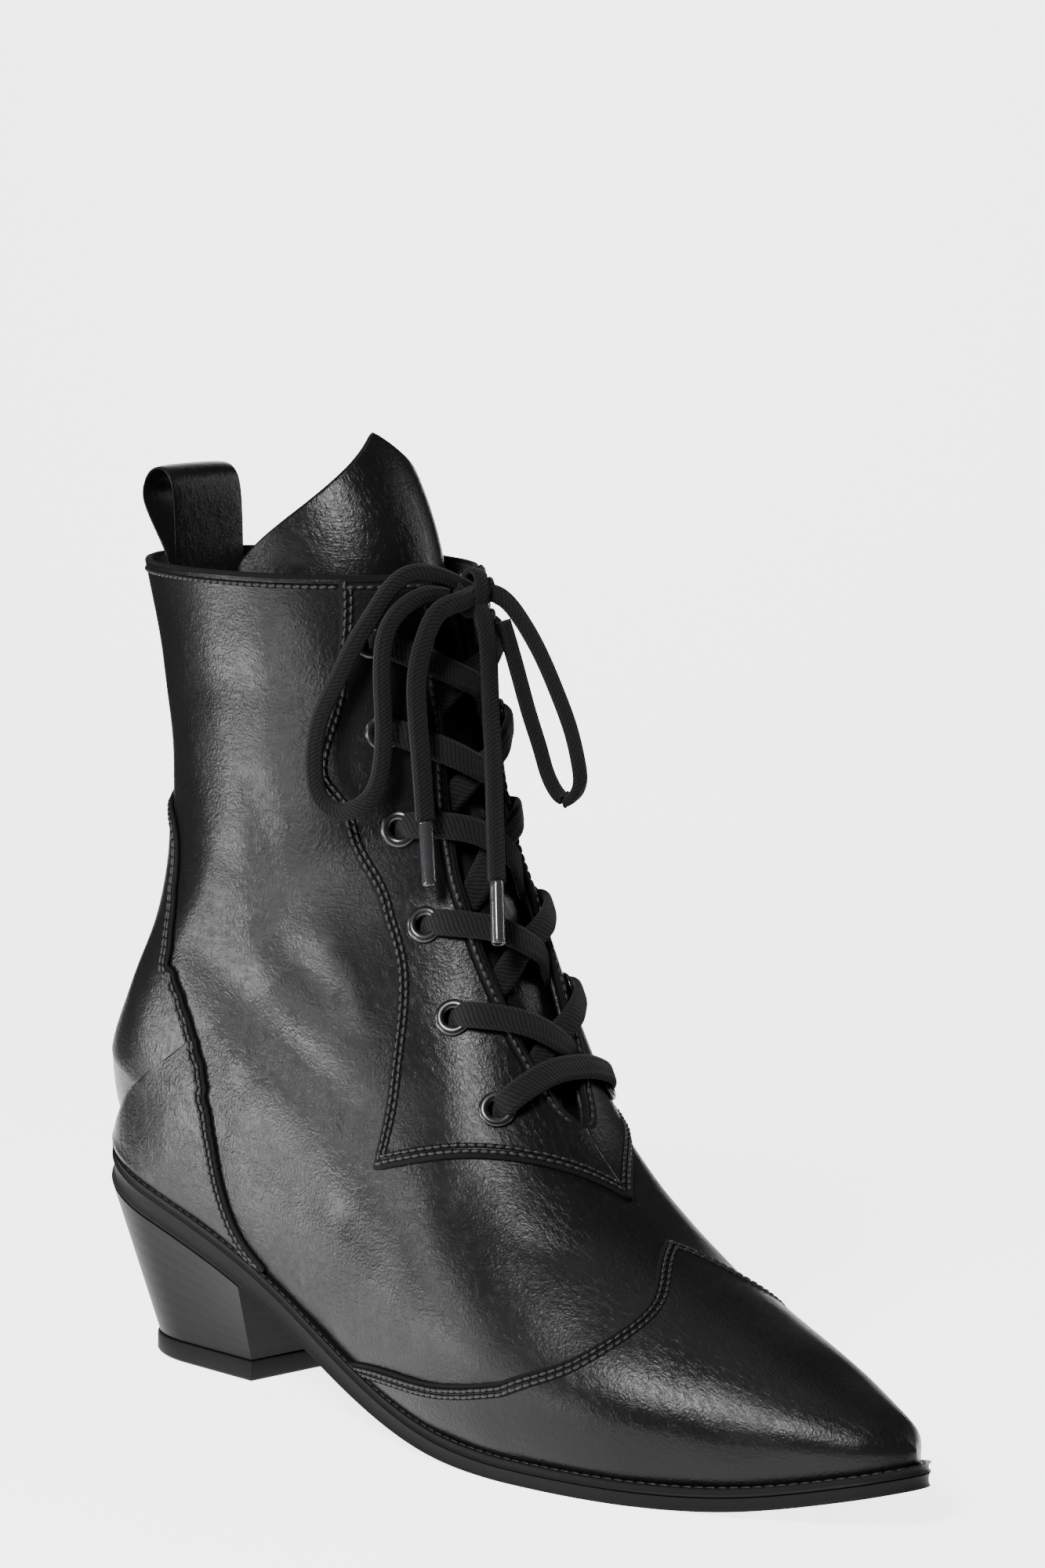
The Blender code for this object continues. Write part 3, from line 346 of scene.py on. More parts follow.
class Maths:  # a number in a shader, with Python's operators
    def __init__(self, tree, socket):
        self.tree = tree
        self.socket = socket

    def op(self, kind, other=None, flip=False, clamp=False):
        node = self.tree.nodes.new("ShaderNodeMath")
        node.operation = kind
        node.use_clamp = clamp
        pair = [other, self] if flip else [self, other]
        for socket, value in zip(node.inputs, pair):
            if isinstance(value, Maths):
                self.tree.links.new(value.socket, socket)
            elif value is not None:
                socket.default_value = value
        return Maths(self.tree, node.outputs[0])

    def __add__(self, other):
        return self.op("ADD", other)

    def __sub__(self, other):
        return self.op("SUBTRACT", other)

    def __rsub__(self, other):
        return self.op("SUBTRACT", other, True)

    def __mul__(self, other):
        return self.op("MULTIPLY", other)

    def __truediv__(self, other):
        return self.op("DIVIDE", other)

    __radd__ = __add__
    __rmul__ = __mul__

    def clamped(self):
        return self.op("ADD", 0.0, clamp=True)


class Look:  # one material on a Principled shader
    def __init__(self, name, **fixed):
        self.material = bpy.data.materials.new(name)
        self.material.use_nodes = True
        self.tree = self.material.node_tree
        self.shader = self.tree.nodes["Principled BSDF"]
        for socket, value in fixed.items():
            self.shader.inputs[socket.replace("_", " ")].default_value = value

    def node(self, kind, settings=None, inputs=None):
        node = self.tree.nodes.new(kind)
        for name, value in (settings or {}).items():
            if name == "stops":
                ramp = node.color_ramp
                while len(ramp.elements) < len(value):
                    ramp.elements.new(0.5)
                for stop, (place, grey) in zip(ramp.elements, value):
                    stop.position = place
                    stop.color = (grey, grey, grey, 1)
            else:
                setattr(node, name, value)
        for name, value in (inputs or {}).items():
            if isinstance(value, Maths):
                self.tree.links.new(value.socket, node.inputs[name])
            else:
                node.inputs[name].default_value = value
        return node

    def out(self, node, name):
        return Maths(self.tree, node.outputs[name])

    def place(self, scale=(1, 1, 1), turn=(0, 0, 0)):  # object coordinates in metres
        where = self.out(self.node("ShaderNodeTexCoord"), "Object")
        return self.out(self.node("ShaderNodeMapping", None, {
            "Vector": where, "Scale": scale, "Rotation": turn}), "Vector")

    def noise(self, vector, scale, detail=3.0, rough=0.5, distortion=0.0):
        return self.out(self.node("ShaderNodeTexNoise", None, {
            "Vector": vector, "Scale": scale, "Detail": detail, "Roughness": rough,
            "Distortion": distortion}), "Fac")

    def cells(self, vector, scale):
        return self.out(self.node("ShaderNodeTexVoronoi", None, {"Vector": vector, "Scale": scale}), "Distance")

    def attribute(self, name):
        return self.out(self.node("ShaderNodeAttribute", {"attribute_name": name}), "Fac")

    def uv(self, index):
        split = self.node("ShaderNodeSeparateXYZ", None, {
            "Vector": self.out(self.node("ShaderNodeUVMap", {"uv_map": "weave"}), "UV")})
        return self.out(split, "XYZ"[index])

    def ramp(self, value, stops):
        return self.out(self.node("ShaderNodeValToRGB", {"stops": stops}, {"Fac": value}), "Color")

    def mix(self, share, first, second):
        node = self.node("ShaderNodeMix", {"data_type": "RGBA"}, {"Factor": share})
        for socket, value in ((node.inputs[6], first), (node.inputs[7], second)):
            if isinstance(value, Maths):
                self.tree.links.new(value.socket, socket)
            else:
                socket.default_value = (*value, 1)
        return Maths(self.tree, node.outputs[2])

    def feed(self, **values):
        for name, value in values.items():
            self.tree.links.new(value.socket, self.shader.inputs[name.replace("_", " ")])
        return self

    def relief(self, height, depth):
        bump = self.node("ShaderNodeBump", None, {"Height": height, "Distance": depth})
        self.tree.links.new(bump.outputs["Normal"], self.shader.inputs["Normal"])


def furrow(distance, middle, width):  # 1 in the middle of a line beside an edge, 0 away from it
    off = (distance - middle) / width
    return (1 - off * off).op("MAXIMUM", 0.0)


grain = {
    "pebble": 1250.0, "ripple": 190.0, "crackle": 520.0, "depth": 0.00016, "seamWidth": 0.72, "edgeWidth": 0.4,
    "dark": (0.0022, 0.0022, 0.0024), "light": (0.0056, 0.0055, 0.0058),
}


def leatherLook(name, seams=(), base=0.30):
    look = Look(name, Coat_Weight=0.0, Specular_IOR_Level=0.13)
    plain = look.place()
    mask = look.noise(plain, 38.0, 2.0)
    wander = look.noise(plain, 95.0, 2.0)
    across = look.place((0.42, 0.42, 1.9), (0.1, 0.05, 0.3))
    ripple = look.noise(across, grain["ripple"], 4.0, 0.62, 1.1)
    slant = look.place((1.6, 0.5, 0.6), (0.5, 0.2, 0.0))
    crackle = look.noise(slant, grain["crackle"], 3.0, 0.6, 1.4)
    pebble = look.cells(plain, grain["pebble"])
    creased = look.ramp(mask, [(0.40, 0.25), (0.62, 1.0)])
    ripples = 1 - (ripple - 0.5).op("ABSOLUTE") * 5.0
    crackles = 1 - (crackle - 0.5).op("ABSOLUTE") * 4.2
    height = ripples.op("MAXIMUM", 0.0) * creased * -0.22 + crackles.op("MAXIMUM", 0.0) * -0.30 \
        + pebble * 0.24 + wander * 0.10
    shade = look.noise(plain, 24.0, 4.0, 0.6)
    rough = base + (mask - 0.5) * 0.16 + (1 - ripples.clamped()) * -0.03 + shade * 0.05
    if seams:
        edge = look.attribute("edge")
        for middle, wide in [(m, grain["seamWidth"]) for m in seams] + [(0.0, grain["edgeWidth"])]:
            dip = furrow(edge, middle, wide)
            height = height - dip * 3.0
            # the darker colour in each stitch furrow is painted shade; the line along the cut edge is darkened the
            # same way
            shade = shade - dip
            rough = rough + dip * 0.6
    look.relief(height, grain["depth"])
    colour = look.mix(shade.clamped(), grain["dark"], grain["light"])
    return look.feed(Base_Color=colour, Roughness=rough).material


def liningLook():
    look = Look("liningCloth", Specular_IOR_Level=0.25)
    fibre = look.noise(look.place(), 900.0, 3.0, 0.7)
    blotch = look.noise(look.place(), 30.0, 2.0)
    look.relief(fibre, 0.0002)
    return look.feed(Base_Color=look.mix(blotch, (0.010, 0.010, 0.010), (0.022, 0.021, 0.021)),
                     Roughness=0.82 + fibre * 0.1).material


def rubberLook(name, dark, light, rough, layers=0.0):
    look = Look(name, Specular_IOR_Level=0.035)
    fine = look.noise(look.place(), 420.0, 4.0, 0.6)
    broad = look.noise(look.place(), 16.0, 3.0)
    height = fine * 0.4
    shade = broad
    if layers:
        stack = look.noise(look.place((0.05, 0.05, 1.0)), layers, 2.0, 0.5)
        height = height * 0.6 + stack * 0.12
        shade = (broad + stack) * 0.5
    look.relief(height, 0.00012)
    return look.feed(Base_Color=look.mix(shade, dark, light), Roughness=rough + (fine - 0.5) * 0.12).material


def laceLook():
    look = Look("laceKnit", Specular_IOR_Level=0.04, Sheen_Weight=0.04, Sheen_Roughness=0.5)
    around = look.uv(0)
    along = look.uv(1)
    ribs = (around * (2 * pi * 9)).op("SINE")
    zigzag = (around * (2 * pi * 9) + along * 5200.0).op("SINE")
    fuzz = look.noise(look.place(), 1500.0, 3.0, 0.7)
    height = ribs * 0.22 + zigzag * 0.25 + fuzz * 1.1
    look.relief(height, 0.00026)
    shade = (zigzag * 0.5 + 0.5) * 0.5 + fuzz * 0.5
    return look.feed(Base_Color=look.mix(shade.clamped(), (0.0026, 0.0026, 0.0027), (0.0135, 0.0135, 0.0138)),
                     Roughness=0.86 + fuzz * 0.1).material


def speckLook(name, scale, depth, dark, light, rough, spread, **fixed):
    look = Look(name, **fixed)
    speck = look.noise(look.place(), scale, 2.0)
    look.relief(speck, depth)
    return look.feed(Base_Color=look.mix(speck, dark, light), Roughness=rough + speck * spread).material


def clearLook():
    look = Look("agletClear", Base_Color=(0.03, 0.03, 0.032, 1), IOR=1.46, Specular_IOR_Level=0.7)
    haze = look.noise(look.place(), 300.0, 2.0)
    return look.feed(Roughness=0.05 + haze * 0.08, Alpha=0.42 + haze * 0.2).material


def floorLook():
    look = Look("floorPaper", Specular_IOR_Level=0.2)
    mottle = look.noise(look.place(), 3.0, 2.0)
    grey = studio["paperGrey"]
    look.shader.inputs["Emission Strength"].default_value = studio["paperGlow"]
    return look.feed(Base_Color=look.mix(mottle, (grey - 0.004,) * 3, (grey + 0.004,) * 3),
                     Emission_Color=look.mix(mottle, (0.995,) * 3, (1.0,) * 3),
                     Roughness=0.8 + mottle * 0.05).material


seamRows = (1.1, 2.7)  # the two rows of stitches beside an edge, in millimetres
leather = leatherLook("leatherSmooth")
leatherSewn = leatherLook("leatherSewn", seamRows)
leatherTongue = leatherLook("leatherTongue", (), 0.27)
leatherTopLine = leatherLook("leatherTopLine", (2.2,))
lining = liningLook()
weltRubber = rubberLook("weltRubber", (0.004, 0.004, 0.004), (0.009, 0.009, 0.009), 0.46)
soleRubber = rubberLook("soleRubber", (0.004, 0.004, 0.004), (0.010, 0.010, 0.010), 0.56)
heelStack = rubberLook("heelStack", (0.004, 0.004, 0.004), (0.009, 0.009, 0.009), 0.42, 700.0)
tipRubber = rubberLook("tipRubber", (0.004, 0.004, 0.004), (0.010, 0.010, 0.010), 0.6)
laceKnit = laceLook()
seamThread = speckLook("seamThread", 2500.0, 0.0001, (0.0012, 0.0012, 0.0012), (0.006, 0.006, 0.006), 0.42, 0.2,
                       Specular_IOR_Level=0.3)
eyeletEnamel = speckLook("eyeletEnamel", 600.0, 0.00002, (0.003, 0.003, 0.003), (0.006, 0.006, 0.007), 0.24, 0.08,
                         Specular_IOR_Level=0.35, Coat_Weight=0.15, Coat_Roughness=0.15)
agletClear = clearLook()
print("materials made")


# Meshes: sheets of the skin are welded, raised along their normals and closed with a round rim
def weld(points, faces):
    keys = np.round((points + 0.0013) * 250).astype(np.int64)
    first, inverse = np.unique(keys, axis=0, return_index=True, return_inverse=True)[1:]
    merged = inverse.ravel()[faces]
    same = merged == np.roll(merged, 1, 1)
    kept = []
    for row, twin in zip(merged.tolist(), same):
        if twin.any():
            row = [v for v, t in zip(row, twin) if not t]
        if len(row) > 2 and len(set(row)) == len(row):
            kept.append(row)
    return first, kept


def gridFaces(rows, columns, start=0, flip=False):
    i = start + np.arange(rows - 1)[:, None] * columns + np.arange(columns - 1)[None, :]
    quads = np.stack([i, i + 1, i + columns + 1, i + columns], -1).reshape(-1, 4)
    return quads[:, ::-1] if flip else quads


def normalsOf(points, faces):  # s runs against y, so the cross product is turned round
    total = np.zeros_like(points)
    quads = np.array([f if len(f) == 4 else [f[0], f[1], f[2], f[2]] for f in faces])
    across = np.cross(points[quads[:, 2]] - points[quads[:, 0]], points[quads[:, 3]] - points[quads[:, 1]])
    for corner in range(4):
        np.add.at(total, quads[:, corner], -across)
    return unit(total)


def openLoops(faces):
    directed = set()
    for face in faces:
        directed.update(zip(face, face[1:] + face[:1]))
    following = {a: b for a, b in directed if (b, a) not in directed}
    loops = []
    while following:
        start, at = following.popitem()
        loop = [start]
        while at != start:
            loop.append(at)
            at = following.pop(at)
        loops.append(loop)
    return loops


def standFor(node):
    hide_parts(node)


def addPiece(name, points, faces, looks, values=None, inside=None):
    mesh = bpy.data.meshes.new(name)
    mesh.from_pydata(metres(points).tolist(), [], faces)
    for key, numbers in (values or {}).items():
        mesh.attributes.new(key, "FLOAT", "POINT").data.foreach_set("value", np.asarray(numbers, "f"))
    for look in looks:
        mesh.materials.append(look)
    if inside is not None:
        mesh.polygons.foreach_set("material_index", np.asarray(inside, "i"))
    mesh.polygons.foreach_set("use_smooth", [True] * len(faces))
    mesh.update()
    piece = bpy.data.objects.new(name, mesh)
    bpy.context.scene.collection.objects.link(piece)
    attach(piece, "root")
    return piece


def closeShell(name, outer, inner, faces, looks, values=None, flatRim=None, steps=3):
    # outer and inner share their faces; each open edge gets a half round rim
    count = len(outer)
    points = [outer, inner]
    owner = [np.arange(count), np.arange(count)]
    allFaces = list(faces) + [[v + count for v in face[::-1]] for face in faces]
    inside = [0] * len(faces) + [1] * len(faces)
    total = 2 * count
    for loop in openLoops(faces):
        ring = np.array(loop)
        middle = (outer[ring] + inner[ring]) / 2
        half = (outer[ring] - inner[ring]) / 2
        ahead = np.roll(middle, -1, 0) - np.roll(middle, 1, 0)
        away = unit(np.cross(half, ahead))
        bulge = np.ones(len(ring)) if flatRim is None else 1 - flatRim[ring]
        reach = np.linalg.norm(half, axis=1) * bulge
        previous = ring
        for k in range(1, steps + 1):
            turn = pi * k / (steps + 1)
            points.append(middle + half * cos(turn) + away * (reach * sin(turn))[:, None])
            owner.append(ring)
            arc = total + np.arange(len(ring))
            total += len(ring)
            following = np.roll(arc, -1)
            for a, b, c, d in zip(previous, np.roll(previous, -1), following, arc):
                allFaces.append([b, a, d, c])
                inside.append(0)
            previous = arc
        below = ring + count
        for a, b, c, d in zip(previous, np.roll(previous, -1), np.roll(below, -1), below):
            allFaces.append([b, a, d, c])
            inside.append(0)
    points = np.concatenate(points)
    owner = np.concatenate(owner)
    spread = {key: numbers[owner] for key, numbers in (values or {}).items()}
    if len(looks) == 1:
        inside = None
    return addPiece(name, points, [[int(v) for v in f] for f in allFaces], looks, spread, inside)


def nearest(points, line):
    # distance of each point from a polyline
    start = line[:-1]
    run = np.diff(line, axis=0)
    length = np.maximum((run ** 2).sum(1), 1e-9)
    found = np.full(len(points), 1e9)
    for first in range(0, len(points), 4000):
        part = points[first:first + 4000, None, :] - start[None]
        share = np.clip((part * run).sum(-1) / length, 0, 1)
        away = part - share[..., None] * run
        found[first:first + 4000] = np.sqrt((away ** 2).sum(-1)).min(1)
    return found


def evenStations(start, end, count, side=-1, exact=()):
    fine = np.linspace(start, end, 1200)
    pace = np.zeros(len(fine) - 1)
    for sweep in (0.02, 0.5, 1.0, 1.6, 2.0):
        pace = np.maximum(pace, np.linalg.norm(np.diff(skin(fine, sweep, side), axis=0), axis=1))
    walked = np.concatenate([[0], np.cumsum(pace)])
    rows = np.interp(np.linspace(0, walked[-1], count), walked, fine)
    for q in exact:
        rows[np.argmin(np.abs(rows - q))] = q
    return rows


def between(line, at):  # points of a line at places counted in its own points
    return np.stack([np.interp(at, np.arange(len(line)), line[:, k]) for k in range(3)], -1)


def evenLine(points, pitch, skip=0.5):
    # places along a line at equal steps, counted in its own points
    length = np.concatenate([[0], np.cumsum(np.linalg.norm(np.diff(points, axis=0), axis=1))])
    count = max(int((length[-1] - 2 * skip) / pitch), 1)
    at = np.linspace(skip, length[-1] - skip, count + 1)
    return np.interp(at, length, np.arange(len(points)))


# Soft unevenness and creases: each crease is a line on the skin (station, sweep) with a width and a
# height in millimetres; a trough has a negative height
creases = [  # side, height, width, and the line as stations and sweeps
    (-1, -0.95, 6.5, [(0.665, 1.124), (0.605, 1.211), (0.579, 1.211), (0.561, 1.224), (0.535, 1.231)]),
    (-1, 0.55, 4.5, [(0.671, 1.04), (0.603, 1.12), (0.583, 1.12)]),
    (-1, -0.7, 4.5, [(0.64, 1.3), (0.6, 1.34), (0.58, 1.36)]),
    (-1, 0.8, 5.0, [(0.6, 1.43), (0.58, 1.42), (0.562, 1.4)]),
    (-1, 0.4, 4.5, [(0.753, 0.957), (0.709, 1.144), (0.675, 1.237)]),
    (-1, -0.5, 5.5, [(0.803, 1.077), (0.751, 1.164), (0.707, 1.251), (0.651, 1.344)]),
    (-1, -0.35, 5.0, [(0.571, 0.9), (0.551, 0.93), (0.533, 0.96), (0.511, 1.02)]),
    (-1, -0.35, 7.0, [(0.909, 0.649), (0.899, 1.037), (0.863, 1.278)]),
    (-1, -0.4, 5.0, [(0.505, 1.037), (0.462, 1.05), (0.44, 0.91)]),
    (-1, -0.5, 5.0, [(0.444, 1.431), (0.392, 1.512), (0.356, 1.599)]),
    (1, -0.8, 6.5, [(0.7, 1.0), (0.63, 1.15), (0.585, 1.25), (0.55, 1.27)]),
    (1, -0.45, 5.5, [(0.8, 0.9), (0.74, 1.15), (0.69, 1.32)]),
    (1, -0.45, 5.0, [(0.5, 1.1), (0.45, 1.25), (0.4, 1.5)]),
]
waves = {"count": 16, "seed": 7, "shortest": 14.0, "longest": 46.0, "height": 0.02975}


def creaseLift(points, side):
    rng = np.random.default_rng(waves["seed"])
    lift = np.zeros(len(points))
    for _ in range(waves["count"]):
        way = unit(rng.normal(size=3))
        length = rng.uniform(waves["shortest"], waves["longest"])
        lift += waves["height"] * np.sin(points @ way * 2 * pi / length + rng.uniform(0, 2 * pi))
    for creased, height, width, line in creases:
        if creased != side:
            continue
        line = np.array(line)
        qs, ts = (Curve(np.linspace(0, 1, len(line)), line[:, k])(np.linspace(0, 1, 24)) for k in (0, 1))
        away = nearest(points, skin(qs, ts, side))
        lift += height * np.exp(-(away / width) ** 2)
    return lift


eyelets = {
    "station": [0.466, 0.528, 0.579, 0.666, 0.781, 0.906],
    "sweep": [1.666, 1.625, 1.655, 1.655, 1.610, 1.612],
    "ringRadius": 3.65, "rimRadius": 1.32, "flatten": 0.72, "hole": 2.1, "height": 1.70,
}
eyeletSpots = np.array([skin(q, t, side) for side in (-1, 1) for q, t in zip(eyelets["station"], eyelets["sweep"])])


def sheetPiece(name, sheets, looks, outside, insideLift, edges=(), wall=False, replaced=(), holes=False):
    # sheets: (stations R, sweeps R x C, side); outside and insideLift are heights above the skin
    points, faces, sides, qAll, tAll = [], [], [], [], []
    start = 0
    for rows, sweeps, side in sheets:
        q = np.broadcast_to(rows[:, None], sweeps.shape) if rows.ndim == 1 else rows
        points.append(skin(q, sweeps, side).reshape(-1, 3))
        faces.append(gridFaces(*sweeps.shape, start, side > 0))
        sides.append(np.full(sweeps.size, side))
        qAll.append(q.ravel())
        tAll.append(sweeps.ravel())
        start += sweeps.size
    base, sides, qAll, tAll = (np.concatenate(v) for v in (points, sides, qAll, tAll))
    first, faces = weld(base, np.concatenate(faces))
    base, sides, qAll, tAll = base[first], sides[first], qAll[first], tAll[first]
    away = normalsOf(base, faces)
    lift = np.where(sides < 0, creaseLift(base, -1), creaseLift(base, 1))
    bottom = np.clip(1 - (base[:, 2] - featherHeight(np.clip(base[:, 1], -5, 275))) / 1.5, 0, 1)
    if holes:
        gap = np.linalg.norm(base[:, None] - eyeletSpots[None], axis=-1).min(1)
        faces = [face for face in faces if min(gap[face]) > eyelets["hole"]]
        bottom = np.where(gap < eyelets["hole"] + 2, 1.0, bottom)
    if wall:
        inner = np.where((sides < 0)[:, None], skin(qAll, tAll, -1, insideLift), skin(qAll, tAll, 1, insideLift))
        inner = inner + away * lift[:, None]
    else:
        inner = base + away * (lift + insideLift)[:, None]
    outer = base + away * (lift + outside)[:, None]
    edge = np.full(len(base), 50.0)
    for line in edges:
        edge = np.minimum(edge, nearest(base, line))
    piece = closeShell(name, outer, inner, faces, looks, {"edge": edge}, bottom)
    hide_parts(*replaced)
    return piece


overlay = {"top": 1.25, "under": 0.10, "gap": 0.4, "rows": 150, "columns": 44}
upperSize = {"rows": 190, "columns": 90, "exact": (0.424, 0.60)}

# Upper
rows = evenStations(0.0, 1.0, upperSize["rows"], exact=upperSize["exact"])
rows[0], rows[-1] = 0.0, 1.0
sheets = []
for side in (-1, 1):
    edgeSweep = throatSweep(rows, side)
    sheets.append((rows, edgeSweep[:, None] * np.linspace(0, 1, upperSize["columns"]) ** 0.92, side))
collarLine = np.concatenate([skin(1.0, np.linspace(throatSweep(1.0, -1), 0, 120), -1),
                             skin(1.0, np.linspace(0, throatSweep(1.0, 1), 120), 1)])
upper = sheetPiece("upperSkin", sheets, [leatherTopLine, lining], 0.0, -last["wall"], [collarLine], True,
                   ["upper"], True)
print("upper made")

# Edges of the overlays, read off the photograph as stations and sweeps
toeCapEdge = {
    "sweep": [0.0, 0.205, 0.489, 0.689, 0.925, 1.105, 1.232, 1.37, 1.54, 1.70, 1.85, 2.0],
    "station": [0.478, 0.471, 0.448, 0.412, 0.368, 0.332, 0.302, 0.281, 0.268, 0.273, 0.297, 0.316],
}
eyestayEdge = {
    "station": [0.361, 0.390, 0.436, 0.475, 0.505, 0.519, 0.531, 0.553, 0.592, 0.630, 0.687, 0.725,
                0.775, 0.830, 0.886, 0.932, 1.0],
    "sweep": [2.0, 1.872, 1.639, 1.422, 1.223, 1.333, 1.393, 1.487, 1.566, 1.554, 1.50, 1.45,
              1.346, 1.40, 1.461, 1.497, 1.528],
}
counterEdge = {
    "station": [0.530, 0.540, 0.5485, 0.555, 0.562, 0.568, 0.5735, 0.578, 0.582, 0.587, 0.595, 0.617, 0.644,
                0.673, 0.701, 0.720, 0.763, 0.802, 0.822, 0.842, 0.866],
    "sweep": [0.18, 0.28, 0.40, 0.505, 0.626, 0.74, 0.847, 0.953, 1.022, 1.060, 1.088, 1.091, 1.075,
              1.033, 0.95, 0.87, 0.70, 0.62, 0.55, 0.40, 0.05],
}
capCurve = Curve(toeCapEdge["sweep"], toeCapEdge["station"])
eyestayLow = Curve(eyestayEdge["station"][:5], eyestayEdge["sweep"][:5])
eyestayBack = Curve(eyestayEdge["station"][4:], eyestayEdge["sweep"][4:])


def eyestaySweep(q):
    q = np.asarray(q, float)
    return np.where(q < 0.505, eyestayLow(q), eyestayBack(q))


def counterSweep(q):
    return np.interp(q, counterEdge["station"], counterEdge["sweep"])


def smoothed(values):
    return np.concatenate([values[:1], (values[:-2] + 2 * values[1:-1] + values[2:]) / 4, values[-1:]])


# Toe cap
sweeps = np.linspace(0.0, 2.0, 90)
shares = np.linspace(0, 1, overlay["rows"]) ** 0.95
sheets = []
capLine = []
for side in (-1, 1):
    q = shares[:, None] * capCurve(sweeps)[None, :]
    sheets.append((q, np.broadcast_to(sweeps, q.shape), side))
    capLine.append(skin(capCurve(np.linspace(0, 2, 300)), np.linspace(0, 2, 300), side))
cap = sheetPiece("toeCap", sheets, [leatherSewn, leather], overlay["top"], overlay["under"], capLine,
                 replaced=["toe_cap"])

# Heel counter
heelEase = {"seat": 57.3, "slope": 0.29, "reach": 34.0, "above": 2.0, "top": 26.0, "clear": 4.5, "passes": 90}
rows = np.sort(np.concatenate([evenStations(0.530, 0.866, overlay["rows"]), np.arange(0.566, 0.606, 0.002)]))
sheets = []
counterLine = []
for side in (-1, 1):
    edgeSweep = smoothed(counterSweep(rows))
    sheets.append((rows, edgeSweep[:, None] * np.linspace(0, 1, overlay["columns"]), side))
    counterLine.append(skin(rows, edgeSweep, side))
counter = sheetPiece("heelCounter", sheets, [leatherSewn, leather], overlay["top"], overlay["under"],
                     counterLine, replaced=["heel_counter"])

# The low fold where the back of the heel turns in to the seat is eased out of the leather
shell = bmesh.new()
shell.from_mesh(counter.data)
near = shell.verts.layers.float["edge"]
eased = []
for v in shell.verts:
    s = last["centreS"] - v.co.y * 1000
    rise = v.co.z * 1000 - heelEase["seat"] + heelEase["slope"] * s
    if s < heelEase["reach"] and heelEase["above"] < rise < heelEase["top"] and v[near] > heelEase["clear"]:
        eased.append(v)
for _ in range(heelEase["passes"]):
    bmesh.ops.smooth_vert(shell, verts=eased, factor=0.5, use_axis_x=True, use_axis_y=True, use_axis_z=True)
shell.to_mesh(counter.data)
shell.free()

# Eyestays
stays = {}
for side, label in ((-1, "lateral"), (1, "medial")):
    rows = evenStations(0.363, 0.998, overlay["rows"], side, exact=(0.505,))
    low = eyestaySweep(rows)
    high = throatSweep(rows, side, overlay["gap"])
    sweeps = low[:, None] + (high - low)[:, None] * np.linspace(0, 1, overlay["columns"])
    split = rows[rows > 0.43]
    lines = [skin(rows, low, side), skin(split, throatSweep(split, side, overlay["gap"]), side),
             skin(0.998, sweeps[-1], side)]
    stay = sheetPiece("eyestay_" + label, [(rows, sweeps, side)], [leatherSewn, leather], overlay["top"],
                      overlay["under"], lines, replaced=["eyestay_" + label], holes=True)
    stays[side] = stay
print("overlays made")


def loft(name, rings, look, closedEnds=True):
    # closed solid through rings of equal count; each end is a fan about its middle
    count = len(rings[0])
    points = list(np.concatenate(rings))
    faces = []
    for k in range(len(rings) - 1):
        for i in range(count):
            j = (i + 1) % count
            faces.append([k * count + i, k * count + j, (k + 1) * count + j, (k + 1) * count + i])
    if closedEnds:
        for k in (0, len(rings) - 1):
            points.append(np.mean(rings[k], 0))
            for i in range(count):
                face = [len(points) - 1, k * count + (i + 1) % count, k * count + i]
                faces.append(face if k == 0 else face[::-1])
    piece = addPiece(name, np.array(points), faces, [look])
    volume = bmesh.new()
    volume.from_mesh(piece.data)
    if volume.calc_volume(signed=True) < 0:
        bmesh.ops.reverse_faces(volume, faces=volume.faces)
        volume.to_mesh(piece.data)
    volume.free()
    return piece


def smoothLine(points, step):
    points = np.array(points, float)
    walked = np.concatenate([[0], np.cumsum(np.linalg.norm(np.diff(points, axis=0), axis=1))])
    at = np.linspace(0, walked[-1], max(int(walked[-1] / step), 4) + 1)
    return np.stack([Curve(walked, points[:, k])(at) for k in range(3)], -1)


def ribbon(name, path, ups, width, thick, look, pinch=0.16, around=18):
    # flattened lace or strap along a path, with its weave laid along it
    ahead = unit(np.gradient(path, axis=0))
    ups = unit(ups - ahead * np.sum(ups * ahead, 1)[:, None])
    across = np.cross(ups, ahead)
    turn = 2 * pi * np.arange(around) / around
    x = np.sign(np.cos(turn)) * np.abs(np.cos(turn)) ** 0.80
    y = np.sign(np.sin(turn)) * np.abs(np.sin(turn)) ** 0.85 * (1 - pinch * (1 - x * x) ** 2)
    rings = [p + np.outer(x, a) * width / 2 + np.outer(y, u) * thick / 2 for p, a, u in zip(path, across, ups)]
    piece = loft(name, rings, look)
    walked = np.concatenate([[0], np.cumsum(np.linalg.norm(np.diff(path, axis=0), axis=1))]) * 0.001
    layer = piece.data.uv_layers.new(name="weave")
    uvs = np.zeros((len(piece.data.loops), 2))
    for polygon in piece.data.polygons:
        ring = [piece.data.loops[i].vertex_index for i in polygon.loop_indices]
        wraps = max(v % around for v in ring) - min(v % around for v in ring) > around / 2
        for i, v in zip(polygon.loop_indices, ring):
            k = min(v // around, len(path) - 1)
            turnShare = (v % around) / around + (1 if wraps and v % around < around / 2 else 0)
            uvs[i] = (turnShare, walked[k])
    layer.data.foreach_set("uv", uvs.ravel())
    return piece


# Tongue: behind the throat, then above the collar to a point
tongueShape = {
    "station": [0.40, 0.46, 0.53, 0.60, 0.70, 0.80, 0.90, 1.0],
    "back": [0.0, 0.0, 0.0, 0.001, 0.004, 0.009, 0.015, 0.021],
    "edge": [1.72, 1.56, 1.46, 1.38, 1.30, 1.21, 1.12, 1.04],
    "gap": 1.4, "thickness": 1.8, "rise": 36.0, "lean": 0.54, "collarLean": 0.15, "corner": 0.03, "peak": 0.75,
    "narrowing": 0.10, "rows": 110, "above": 46, "columns": 46,
}


